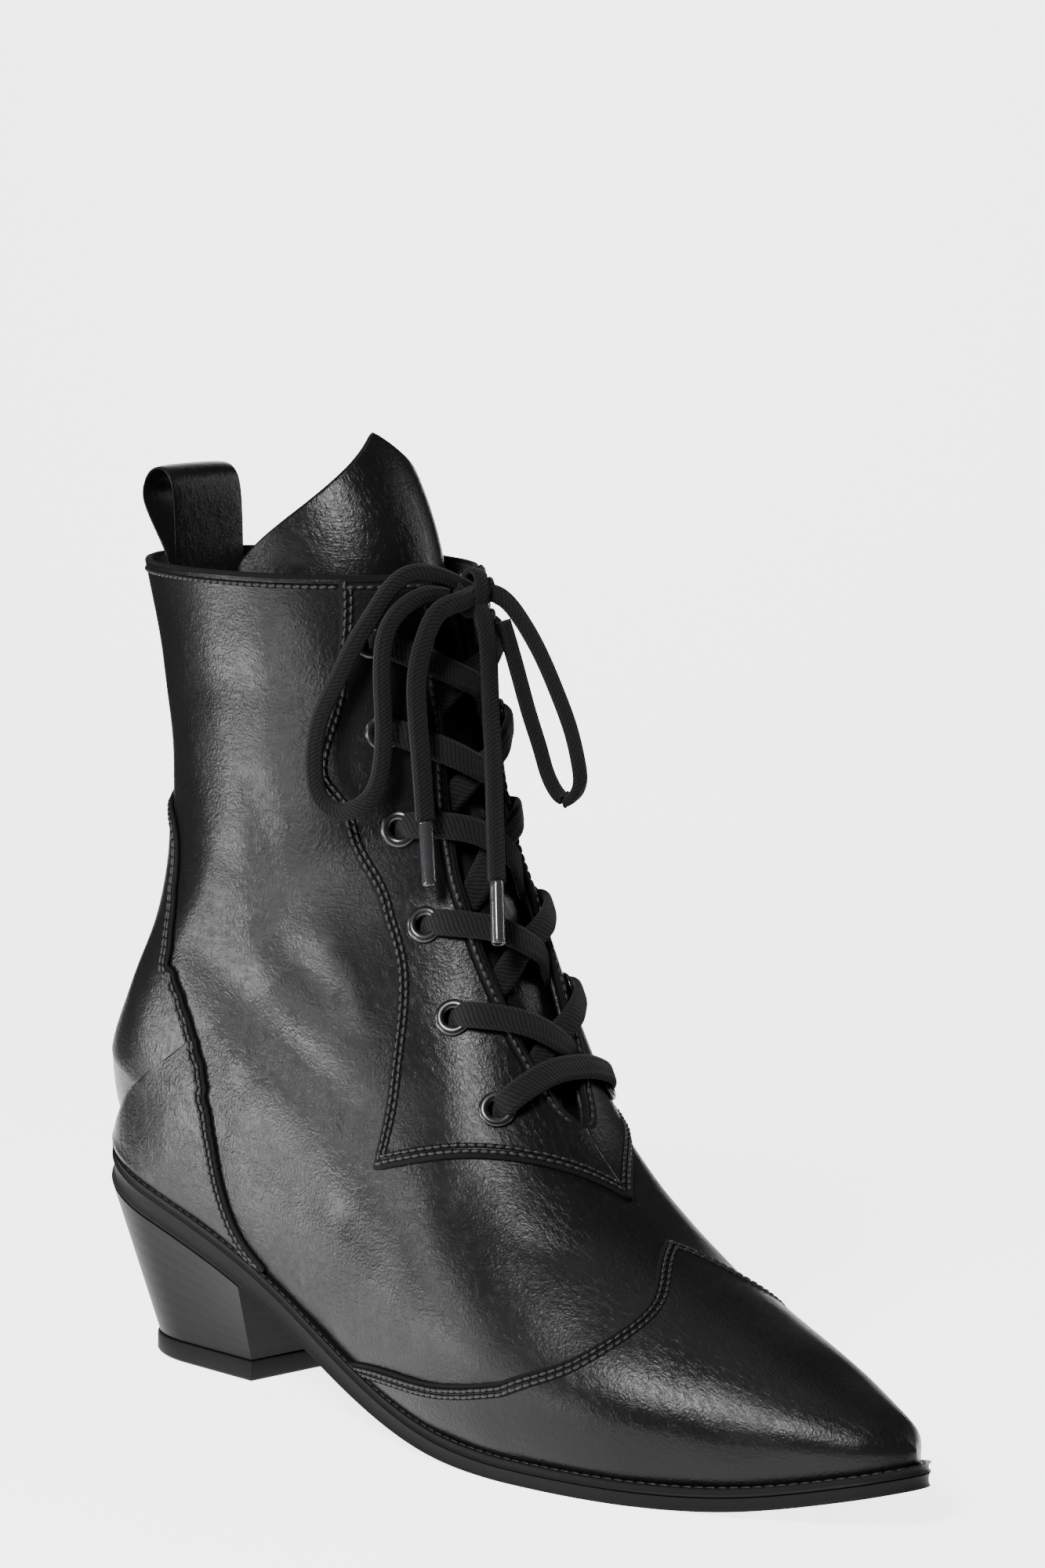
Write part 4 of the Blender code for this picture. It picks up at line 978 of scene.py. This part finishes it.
def tongueGrid(side):
    rows = np.linspace(0.40, 1.0, tongueShape["rows"])
    edge = Curve(tongueShape["station"], tongueShape["edge"])(rows)
    back = np.maximum(Curve(tongueShape["station"], tongueShape["back"])(rows), 0)
    sweeps = edge[:, None] + (2 - edge)[:, None] * np.linspace(0, 1, tongueShape["columns"])
    lift = -(last["wall"] + tongueShape["gap"] + last["soleLength"] * back)[:, None]
    grid = skin(rows[:, None], sweeps, side, np.broadcast_to(lift, sweeps.shape))
    corner, start = tongueShape["corner"], tongueShape["collarLean"]
    place = np.linspace(1, 0, tongueShape["columns"])
    rise = tongueShape["rise"] * (corner + (1 - corner) * (1 - place) ** tongueShape["peak"])
    up = np.linspace(0, 1, tongueShape["above"] + 1)[1:, None] * rise
    lean = (tongueShape["lean"] - start) * up * up / tongueShape["rise"] + start * up
    above = np.broadcast_to(grid[-1], (len(up),) + grid[-1].shape).copy()
    above[..., 0] *= 1 - tongueShape["narrowing"] * up / tongueShape["rise"]
    above[..., 1] -= lean
    above[..., 2] += up
    return np.concatenate([grid, above])


grids = [tongueGrid(side) for side in (-1, 1)]
points = np.concatenate([g.reshape(-1, 3) for g in grids])
faces = np.concatenate([gridFaces(*grids[0].shape[:2]), gridFaces(*grids[1].shape[:2], len(points) // 2, True)])
first, faces = weld(points, faces)
outer = points[first]
away = normalsOf(outer, faces)
outer = outer + away * creaseLift(outer, 0)[:, None]
tongue = closeShell("tonguePiece", outer, outer - away * tongueShape["thickness"], faces, [leatherTongue, lining])
standFor("tongue")
print("tongue made")


# Sole: insole, welt, outsole, heel and its top piece
sole = {
    "ledgeIn": 0.45, "rows": 260, "columns": 9, "insoleMargin": 2.6, "insole": 2.4,
    "breastTop": 0.230, "breastBottom": 0.2125, "backBottom": 0.0355, "bottomHalf": 0.262,
    "topPiece": 5.6, "topPieceLip": 0.5, "lifts": 9, "liftGroove": 0.012, "liftEdge": 0.006,
    "heelBack": 0.6, "heelFlare": 0.4, "heelRound": 0.085, "heelFullness": 2.2,
}


def soleEdge(offset, count):
    s = featherWalk(np.linspace(0, 1, 400), 0.0)
    centre, half = featherSides(s, 0.0)
    half = half * heelRound(s, 0.0) * toeRound(s, 0.0)
    ring = np.concatenate([np.stack([centre - half, s], -1), np.stack([centre + half, s], -1)[::-1][1:-1]])
    ahead = unit(np.roll(ring, -1, 0) - np.roll(ring, 1, 0))
    away = np.stack([-ahead[:, 1], ahead[:, 0]], -1)
    if np.sum((ring - ring.mean(0)) * away) < 0:
        away = -away
    moved = ring + away * np.broadcast_to(offset(ring[:, 1]), len(ring))[:, None]
    rows = moved[0, 1] + (moved[399, 1] - moved[0, 1]) * (1 - np.cos(np.linspace(0, pi, count))) / 2
    rows[0] += 0.01
    rows[-1] -= 0.01
    inner = np.concatenate([moved[:1], moved[400:][::-1], moved[399:400]])
    return rows, np.interp(rows, moved[:400, 1], moved[:400, 0]), np.interp(rows, inner[:, 1], inner[:, 0])


def platePiece(name, offset, low, high, look, bulge, node):
    rows, outer, inner = soleEdge(offset, sole["rows"])
    share = (1 - np.cos(np.linspace(0, pi, sole["columns"] * 4))) / 2
    x = outer[:, None] + (inner - outer)[:, None] * share
    s = np.broadcast_to(rows[:, None], x.shape)
    bottom = np.stack([x, s, low(s)], -1).reshape(-1, 3)
    top = np.stack([x, s, high(s)], -1).reshape(-1, 3)
    faces = gridFaces(*x.shape).tolist()
    flat = np.full(len(top), 1.0 - bulge)
    piece = closeShell(name, top, bottom, faces, [look], None, flat, 4)
    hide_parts(node)
    return piece


def ledge(s):
    return last["ballWidth"] * ledgeCurve(s / last["soleLength"])


insole = platePiece("insoleSock", lambda s: -sole["insoleMargin"] + 0 * s, featherHeight,
                    lambda s: featherHeight(s) + sole["insole"], lining, 0.4, "insole")
weltTop = lambda s: weltBase(s) + last["weltThickness"]
welt = platePiece("weltBand", lambda s: ledge(s) - sole["ledgeIn"], weltBase, weltTop, weltRubber, 0.55, "welt")
outsole = platePiece("outsolePlate", lambda s: ledge(s) - sole["ledgeIn"], underside,
                     lambda s: underside(s) + outsoleThickness(s), soleRubber, 0.30, "outsole")

rows, outerEdge, innerEdge = soleEdge(ledge, 200)
turns = np.linspace(0, pi / 2, 40)
breastTop = sole["breastTop"] * last["soleLength"]
topS = rows[0] + sole["heelBack"] + (breastTop - rows[0] - sole["heelBack"]) * (1 - np.cos(turns))
topOuter = np.interp(topS, rows, outerEdge) + sole["heelFlare"]
topInner = np.interp(topS, rows, innerEdge) - sole["heelFlare"]
backLow = sole["backBottom"] * last["soleLength"]
lowS = backLow + (sole["breastBottom"] * last["soleLength"] - backLow) * (1 - np.cos(turns))
lowShare = np.clip((lowS - backLow) / (sole["heelRound"] * last["soleLength"]), 0, 1)
lowHalf = sole["bottomHalf"] * last["ballWidth"] * (
    1 - (1 - lowShare) ** sole["heelFullness"]) ** (1 / sole["heelFullness"])


def heelRing(level, inset=0.0):
    s = topS + (lowS - topS) * level
    zTop = underside(topS) - last["joinGap"]
    z = zTop + (sole["topPiece"] + last["joinGap"] - zTop) * level
    left = topOuter + (-lowHalf - topOuter) * level
    right = topInner + (lowHalf - topInner) * level
    ring = np.concatenate([np.stack([left, s, z], -1)[::-1], np.stack([right, s, z], -1)[1:]])
    out = ring - ring.mean(0)
    out[:, 2] = 0
    return ring - unit(out) * inset


rings = []
for k in range(sole["lifts"]):
    low = k / sole["lifts"]
    high = (k + 1) / sole["lifts"]
    rings += [heelRing(low + sole["liftEdge"]), heelRing((low + high) / 2), heelRing(high - sole["liftEdge"])]
    if k + 1 < sole["lifts"]:
        rings.append(heelRing(high, sole["liftGroove"]))
heel = loft("heelBlock", rings, heelStack)
standFor("heel_block")


def topPieceRing(z, grow):
    middle = np.array([0.0, (lowS[0] + lowS[-1]) / 2, 0.0])
    size = np.array([1 + grow / lowHalf[-1], 1 + 2 * grow / (lowS[-1] - lowS[0]), 1.0])
    side = np.stack([lowHalf, lowS, 0 * lowS], -1)
    ring = np.concatenate([side[::-1] * (-1, 1, 1), side[1:]])
    ring = middle + (ring - middle) * size
    ring[:, 2] = z
    return ring


lip = sole["topPieceLip"]
topPiece = loft("heelTopPiece", [topPieceRing(0.0, lip - 0.9), topPieceRing(0.35, lip - 0.35),
                                 topPieceRing(0.9, lip), topPieceRing(sole["topPiece"] - 0.5, lip),
                                 topPieceRing(sole["topPiece"] - 0.1, lip - 0.25),
                                 topPieceRing(sole["topPiece"], lip - 0.7)], tipRubber)
standFor("heel_top_piece")
for piece in (heel, topPiece):
    piece.data.set_sharp_from_angle(angle=radians(38))
print("sole and heel made")

# Pull loop
pullLoop = {
    "ahead": [0.40, 0.37, 0.20, 0.01, -0.075, 0.01, 0.19, 0.37, 0.455, 0.495, 0.525],
    "up": [-0.42, -0.06, 0.22, 0.48, 0.70, 0.92, 1.00, 0.90, 0.60, 0.06, -0.42],
    "rise": 24.0, "width": 25.0, "strap": 1.5,
}
collarBack = skin(1.0, 0.0, -1)
marks = np.arange(len(pullLoop["up"]))
fine = np.linspace(0, marks[-1], 90)
side = np.stack([0 * fine, Curve(marks, pullLoop["ahead"])(fine), Curve(marks, pullLoop["up"])(fine)], -1)
path = collarBack * (0, 1, 1) + side * pullLoop["rise"]
ahead = unit(np.gradient(path, axis=0))
loop = ribbon("pullLoopStrap", path, np.cross(ahead, (1.0, 0, 0)), pullLoop["width"], pullLoop["strap"],
              leather, 0.0, 40)
standFor("pull_loop")

# Lace: a bar at the lowest row, then two straps a row that cross in the gap
lace = {
    "width": 7.0, "thick": 2.5, "step": 0.9,
    "places": [-1.03, -1.0, -0.95, -0.84, -0.68, -0.52, -0.38, -0.26, -0.12, 0.02, 0.16, 0.30, 0.42, 0.54],
    "over": [-3.0, -0.6, 2.2, 3.7, 3.5, 3.25, 3.15, 3.0, 2.8, 2.5, 1.6, 0.0, -1.4, -2.3],
    "under": [-3.0, -0.6, 2.2, 3.7, 3.5, 3.25, 3.1, 2.4, 0.9, -0.2, -0.6, -1.0, -1.8, -2.4],
}


def overThroat(place, station, rowSweep, height, side):
    # place runs from -1 at the eyelet of this side to 1 at the other side's eyelet
    where = side if place < 0 else -side
    sweep = 2 - abs(place) * (2 - rowSweep)
    return skin(station, sweep, where, height), skinNormal(station, sweep, where)


def laceRun(name, places, stationsAt, rowSweep, heights, side, node):
    pairs = [overThroat(p, q, rowSweep, h, side) for p, q, h in zip(places, stationsAt, heights)]
    path = smoothLine([p for p, n in pairs], lace["step"])
    ups = between(np.array([n for p, n in pairs]), np.linspace(0, len(pairs) - 1, len(path)))
    piece = ribbon(name, path, ups, lace["width"], lace["thick"], laceKnit)
    standFor(node)


barPlaces = [-1.03, -1.0, -0.95, -0.84, -0.68, -0.45, -0.15, 0.15, 0.45, 0.68, 0.84, 0.95, 1.0, 1.03]
barHeights = [-3.0, -0.6, 2.2, 3.9, 3.8, 3.4, 2.7, 2.7, 3.4, 3.8, 3.9, 2.2, -0.6, -3.0]
laceRun("laceBar", barPlaces, [eyelets["station"][0]] * 14, eyelets["sweep"][0], barHeights, -1, "lace_bar_1")
for row in range(1, 6):
    high = eyelets["station"][row]
    drop = high - eyelets["station"][row - 1]
    for side, label, heights in ((1, "medial", lace["under"]), (-1, "lateral", lace["over"])):
        at = [high - drop * min(max((p + 0.97) / 1.45, 0) ** 0.9, 1.0) for p in lace["places"]]
        laceRun("laceRow%d_%s" % (row + 1, label), lace["places"], at, eyelets["sweep"][row], heights, side,
                "lace_cross_%d" % (row + 1))
print("lacing made")

# Bow: a knot, two loops and two ends with clear tips
bow = {
    "loopWidth": 4.8, "endWidth": 5.4, "thick": 3.5, "tipLength": 17.0, "tipDiameter": 3.8, "tipBore": 0.80,
    "lace_loop_lateral": [
        (-5.9, 112.6, 223.0), (-12.0, 111.5, 225.0), (-17.5, 109.5, 225.0), (-22.0, 107.5, 221.5),
        (-25.5, 105.0, 215.0), (-29.0, 101.5, 206.5), (-31.5, 98.0, 197.0), (-33.5, 94.5, 188.0),
        (-34.0, 92.5, 179.5), (-33.5, 92.0, 171.0), (-32.5, 93.5, 165.0), (-30.5, 97.5, 162.0),
        (-28.0, 103.0, 163.5), (-26.0, 106.5, 167.5), (-25.0, 108.5, 175.0), (-24.5, 108.5, 184.5),
        (-25.5, 108.7, 195.0), (-26.0, 109.0, 204.0), (-24.0, 109.0, 211.5), (-18.5, 110.5, 217.5),
        (-11.5, 111.8, 219.5), (-6.2, 112.5, 218.6)],
    "lace_loop_medial": [
        (9.9, 116.2, 217.7), (14.0, 120.0, 211.5), (17.5, 124.0, 202.5), (20.0, 128.0, 192.5),
        (22.0, 131.0, 183.5), (23.0, 133.5, 174.0), (23.5, 133.0, 167.0), (23.0, 129.0, 164.0),
        (21.5, 125.5, 167.5), (20.0, 122.5, 176.0), (18.0, 120.0, 185.5), (15.5, 118.5, 195.0),
        (13.0, 117.0, 204.5), (11.5, 115.5, 211.0)],
    "lace_end_lateral": [
        (-5.2, 116.1, 217.6), (-12.0, 115.5, 215.5), (-16.0, 114.5, 208.5), (-18.0, 113.8, 198.5),
        (-18.5, 114.8, 188.5), (-18.5, 116.3, 178.5), (-18.5, 117.8, 168.0), (-18.8, 119.0, 161.0)],
    "lace_end_medial": [
        (2.7, 117.0, 212.7), (4.8, 117.5, 200.5), (3.0, 120.5, 187.0), (0.0, 124.7, 176.5),
        (-1.8, 127.3, 166.0), (-4.5, 130.8, 156.0), (-7.5, 134.6, 146.0)],
}
knot = {"centre": (2.5, 113.0, 219.0), "half": (8.0, 4.5, 6.5), "lace": 4.6, "thick": 2.3, "sink": 1.2}


def awayFromShaft(path):
    away = path - np.array([0.0, 0.19 * last["soleLength"], 0.0])
    away[:, 2] = 0
    return unit(away)


def bowCord(node, width):
    path = smoothLine([knot["centre"]] + list(bow[node]), 1.0)
    piece = ribbon(node.replace("lace_", "bow_"), path, awayFromShaft(path), width, bow["thick"], laceKnit)
    standFor(node)
    tuple(metres(path[0]))
    metres(path).tolist()


for node in ("lace_loop_lateral", "lace_loop_medial"):
    bowCord(node, bow["loopWidth"])
for node in ("lace_end_lateral", "lace_end_medial"):
    label = node.replace("lace_end", "aglet")
    ends = smoothLine(bow[node], 1.0)
    way = unit(ends[-1] - ends[-4])
    tip = ends[-1] + way * np.linspace(0.1, bow["tipLength"], 24)[:, None]
    turn = 2 * pi * np.arange(28) / 28
    across = unit(np.cross(way, (0.3, 1.0, 0.2)))
    other = np.cross(way, across)
    rings = []
    shape = np.concatenate([[0.92], np.ones(22), [0.94]]) * bow["tipDiameter"] / 2
    for p, r in list(zip(tip, shape)) + list(zip(tip[::-1], shape[::-1] * bow["tipBore"])):
        rings.append(p + r * (np.outer(np.cos(turn), across) + np.outer(np.sin(turn), other)))
    sleeve = loft(label + "Sleeve", rings + rings[:1], agletClear, closedEnds=False)
    standFor(label)
    core = ribbon(label + "Core", tip[:-2], awayFromShaft(tip[:-2]), 2.5, 2.1, laceKnit, 0.0, 14)
    bowCord(node, bow["endWidth"])

# Knot: the middle wrap over two crossing turns
middle = np.array(knot["centre"])
turn = np.linspace(0, 2 * pi, 60)
wraps = {  # share of the knot's half sizes, and where a crossing turn starts
    "knotWrap": ((0.30, 1.0, 1.04), None), "knotLow": ((1.0, 0.72, 0.55), 0.0), "knotHigh": ((0.95, 0.80, 0.62), 0.9),
}
for name, (share, lean) in wraps.items():
    half = np.array(knot["half"]) * share - knot["sink"]
    if lean is None:
        path = np.stack([half[0] * np.cos(turn) * 0.8, half[1] * np.sin(turn), half[2] * np.cos(turn)], -1)
    else:
        path = np.stack([half[0] * np.cos(turn), half[1] * np.sin(turn), half[2] * np.sin(2 * turn + lean) * 0.6], -1)
    ups = unit(path * (1, 1.6, 1))
    wrap = ribbon(name, middle + path[:-1], ups[:-1], knot["lace"], knot["thick"], laceKnit)
    standFor("lace_knot")
print("bow made")


# Stitches and eyelets with Geometry Nodes
def addNode(tree, kind, inputs=None, **settings):
    node = tree.nodes.new(kind)
    for name, value in settings.items():
        setattr(node, name, value)
    for name, value in (inputs or {}).items():
        if isinstance(value, bpy.types.NodeSocket):
            tree.links.new(value, node.inputs[name])
        else:
            node.inputs[name].default_value = value
    return node


def newTree(name, sizes, look):
    tree = bpy.data.node_groups.new(name, "GeometryNodeTree")
    tree.interface.new_socket("Geometry", in_out="INPUT", socket_type="NodeSocketGeometry")
    for label, value in sizes.items():
        socket = tree.interface.new_socket(label, in_out="INPUT", socket_type="NodeSocketFloat")
        socket.default_value = value
    tree.interface.new_socket("Geometry", in_out="OUTPUT", socket_type="NodeSocketGeometry")
    start = addNode(tree, "NodeGroupInput").outputs
    points = addNode(tree, "GeometryNodeInstanceOnPoints", {"Points": start["Geometry"]})
    turned = (0, 0, 0)
    for label, axis, pivot in (("away", "Z", "AUTO"), ("along", "X", "Z")):
        read = addNode(tree, "GeometryNodeInputNamedAttribute", {"Name": label}, data_type="FLOAT_VECTOR")
        turned = addNode(tree, "FunctionNodeAlignRotationToVector",
                         {"Vector": read.outputs["Attribute"], "Rotation": turned},
                         axis=axis, pivot_axis=pivot).outputs["Rotation"]
    tree.links.new(turned, points.inputs["Rotation"])
    real = addNode(tree, "GeometryNodeRealizeInstances", {"Geometry": points.outputs["Instances"]})
    shade = addNode(tree, "GeometryNodeSetShadeSmooth", {"Geometry": real.outputs["Geometry"]})
    paint = addNode(tree, "GeometryNodeSetMaterial", {"Geometry": shade.outputs["Geometry"], "Material": look})
    addNode(tree, "NodeGroupOutput", {"Geometry": paint.outputs["Geometry"]})
    return tree, start, points


def shaped(tree, start, mesh, labels, points):  # a mesh scaled by three of the tree's inputs is what repeats
    size = addNode(tree, "ShaderNodeCombineXYZ", dict(zip("XYZ", (start[label] for label in labels))))
    scale = addNode(tree, "GeometryNodeTransform", {"Geometry": mesh, "Scale": size.outputs["Vector"]})
    tree.links.new(scale.outputs["Geometry"], points.inputs["Instance"])
    return tree


def stitchTree(look):
    tree, start, points = newTree("stitchTree", {"Length": 0.0021, "Width": 0.0007, "Height": 0.0006}, look)
    ball = addNode(tree, "GeometryNodeMeshUVSphere", {"Segments": 6, "Rings": 6, "Radius": 0.5})
    lay = addNode(tree, "GeometryNodeTransform", {"Geometry": ball.outputs["Mesh"], "Rotation": (0, pi / 2, 0)})
    return shaped(tree, start, lay.outputs["Geometry"], ("Length", "Width", "Height"), points)


def eyeletTree(look):
    sizes = {"Ring radius": eyelets["ringRadius"] * 0.001, "Rim radius": eyelets["rimRadius"] * 0.001,
             "Flatten": eyelets["flatten"], "Full": 1.0}
    tree, start, points = newTree("eyeletTree", sizes, look)
    ring, rim = (addNode(tree, "GeometryNodeCurvePrimitiveCircle", {"Resolution": count, "Radius": start[label]})
                 for count, label in ((48, "Ring radius"), (14, "Rim radius")))
    sweep = addNode(tree, "GeometryNodeCurveToMesh", {
        "Curve": ring.outputs["Curve"], "Profile Curve": rim.outputs["Curve"]})
    return shaped(tree, start, sweep.outputs["Mesh"], ("Full", "Full", "Flatten"), points)


def runTree(name, tree, spots, along, away, sizes):
    mesh = bpy.data.meshes.new(name)
    mesh.from_pydata(metres(spots).tolist(), [], [])
    turn = np.array([1.0, -1.0, 1.0])  # s runs against the frame's y
    for label, vectors in (("along", along), ("away", away)):
        data = mesh.attributes.new(label, "FLOAT_VECTOR", "POINT").data
        data.foreach_set("vector", (vectors * turn).astype("f").ravel())
    piece = bpy.data.objects.new(name, mesh)
    bpy.context.scene.collection.objects.link(piece)
    made = piece.modifiers.new("nodes", "NODES")
    made.node_group = tree
    for item in tree.interface.items_tree:
        if item.in_out == "INPUT" and item.name in sizes:
            made[item.identifier] = sizes[item.name]
    bpy.context.view_layer.update()
    whole = bpy.data.meshes.new_from_object(piece.evaluated_get(bpy.context.evaluated_depsgraph_get()))
    piece.modifiers.clear()
    piece.data = whole
    piece.name = name
    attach(piece, "root")
    return piece


stitch = {"pitch": 2.45, "Length": 0.0025, "Width": 0.00115, "Height": 0.00095, "raise": 0.12}
weltStitch = {"pitch": 3.1, "Length": 0.0029, "Width": 0.0009, "Height": 0.0007, "ledge": 0.52}


def treeOf(piece):
    corners = [tuple(v.co) for v in piece.data.vertices]
    return BVHTree.FromPolygons(corners, [tuple(f.vertices) for f in piece.data.polygons])


def dropOnto(tree, spots):  # nearest places on a piece, its normals there and how far they were
    found = [tree.find_nearest(Vector(p)) for p in metres(spots)]
    places = np.array([f[0] for f in found]) * 1000
    away = np.array([f[1] for f in found]) * (1, -1, 1)
    places = np.stack([places[:, 0] + last["centreX"], last["centreS"] - places[:, 1], places[:, 2]], -1)
    return places, away, np.array([f[3] for f in found]) * 1000


def stitchLine(tree, qs, ts, side, offset, height=1.5):
    # stitches in from an edge of a piece, on its outer face
    qs, ts = np.asarray(qs, float), np.asarray(ts, float)
    line = skin(qs, ts, side)
    away = skinNormal(qs, ts, side)
    move = unit(np.cross(away, unit(np.gradient(line, axis=0)))) * offset
    tries = [dropOnto(tree, line + move * k + away * (height + 1.5)) for k in (-1, 1)]
    spots, away, off = min(tries, key=lambda t: np.mean(t[2]))
    keep = off < 3.2
    spots, away = spots[keep], away[keep]
    at = evenLine(spots, stitch["pitch"], offset)
    return between(spots, at), unit(between(np.gradient(spots, axis=0), at)), unit(between(away, at))


rowsOfStitches = []
capTree, counterTree, upperTree = (treeOf(p) for p in (cap, counter, upper))
for side in (-1, 1):
    stayTree = treeOf(stays[side])
    for offset in seamRows:
        t = np.linspace(0.10, 2.0, 300)
        rowsOfStitches.append(stitchLine(capTree, capCurve(t), t, side, offset))
        for q in (np.linspace(0.368, 0.504, 200), np.linspace(0.507, 0.996, 300)):
            rowsOfStitches.append(stitchLine(stayTree, q, eyestaySweep(q), side, offset))
        q = evenStations(0.532, 0.864, 400)
        rowsOfStitches.append(stitchLine(counterTree, q, counterSweep(q), side, offset))
    q = np.linspace(0.432, 0.990, 300)
    rowsOfStitches.append(stitchLine(stayTree, q, throatSweep(q, side, overlay["gap"]), side, 1.8))
    edge = float(eyestaySweep(0.998))
    t = np.linspace(0.0, edge, 120)
    rowsOfStitches.append(stitchLine(upperTree, np.full(120, 0.9999), t, side, 2.3, 0.0))
    t = np.linspace(edge + 0.01, float(throatSweep(0.998, side, overlay["gap"])) - 0.01, 60)
    rowsOfStitches.append(stitchLine(stayTree, np.full(60, 0.998), t, side, 2.0))
spots, along, away = (np.concatenate([r[k] for r in rowsOfStitches]) for k in range(3))
threads = stitchTree(seamThread)
runTree("upperStitches", threads, spots + away * stitch["raise"], along, away, stitch)
print("stitches", len(spots))

# Thread in the welt, on the ledge beside the upper
rows, outerEdge, innerEdge = soleEdge(lambda s: ledge(s) * weltStitch["ledge"], 500)
line = np.concatenate([np.stack([outerEdge, rows, weltTop(rows)], -1),
                       np.stack([innerEdge, rows, weltTop(rows)], -1)[::-1]])
at = evenLine(line, weltStitch["pitch"])
along = unit(between(np.gradient(line, axis=0), at))
away = unit(np.cross(np.cross(along, (0, 0, 1.0)), along))
runTree("weltThread", threads, between(line, at), along, away, weltStitch)

# Eyelet rings
away = np.array([skinNormal(q, t, side) for side in (-1, 1)
                 for q, t in zip(eyelets["station"], eyelets["sweep"])])
along = unit(np.cross(away, (0.0, 0.0, 1.0)))
rings = runTree("eyeletRings", eyeletTree(eyeletEnamel), eyeletSpots + away * eyelets["height"], along, away,
                {})
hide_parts(*["eyelet_%s_%d" % (s, n) for s in ("lateral", "medial") for n in range(1, 7)])
print("eyelets made")

# Floor: a paper sweep that runs up behind the boot
wide, bend = studio["paperWide"] / 2, studio["paperBend"]
side = [(studio["paperFront"], 0.0)]
side += [(studio["paperBack"] - bend * sin(a), bend * (1 - cos(a))) for a in np.linspace(0, pi / 2, 24)]
side += [(side[-1][0], studio["paperTall"])]
level = Vector((cameraBack.x, cameraBack.y, 0)).normalized()
corners = [level * d + cameraRight * w + Vector((0, 0, h)) for d, h in side for w in (-wide, wide)]
floorMesh = bpy.data.meshes.new("floor")
floorMesh.from_pydata(corners, [], [(i, i + 1, i + 3, i + 2) for i in range(0, len(corners) - 2, 2)])
floorMesh.shade_smooth()
floor = bpy.data.objects.new("floor", floorMesh)
floorMesh.materials.append(floorLook())
bpy.context.scene.collection.objects.link(floor)
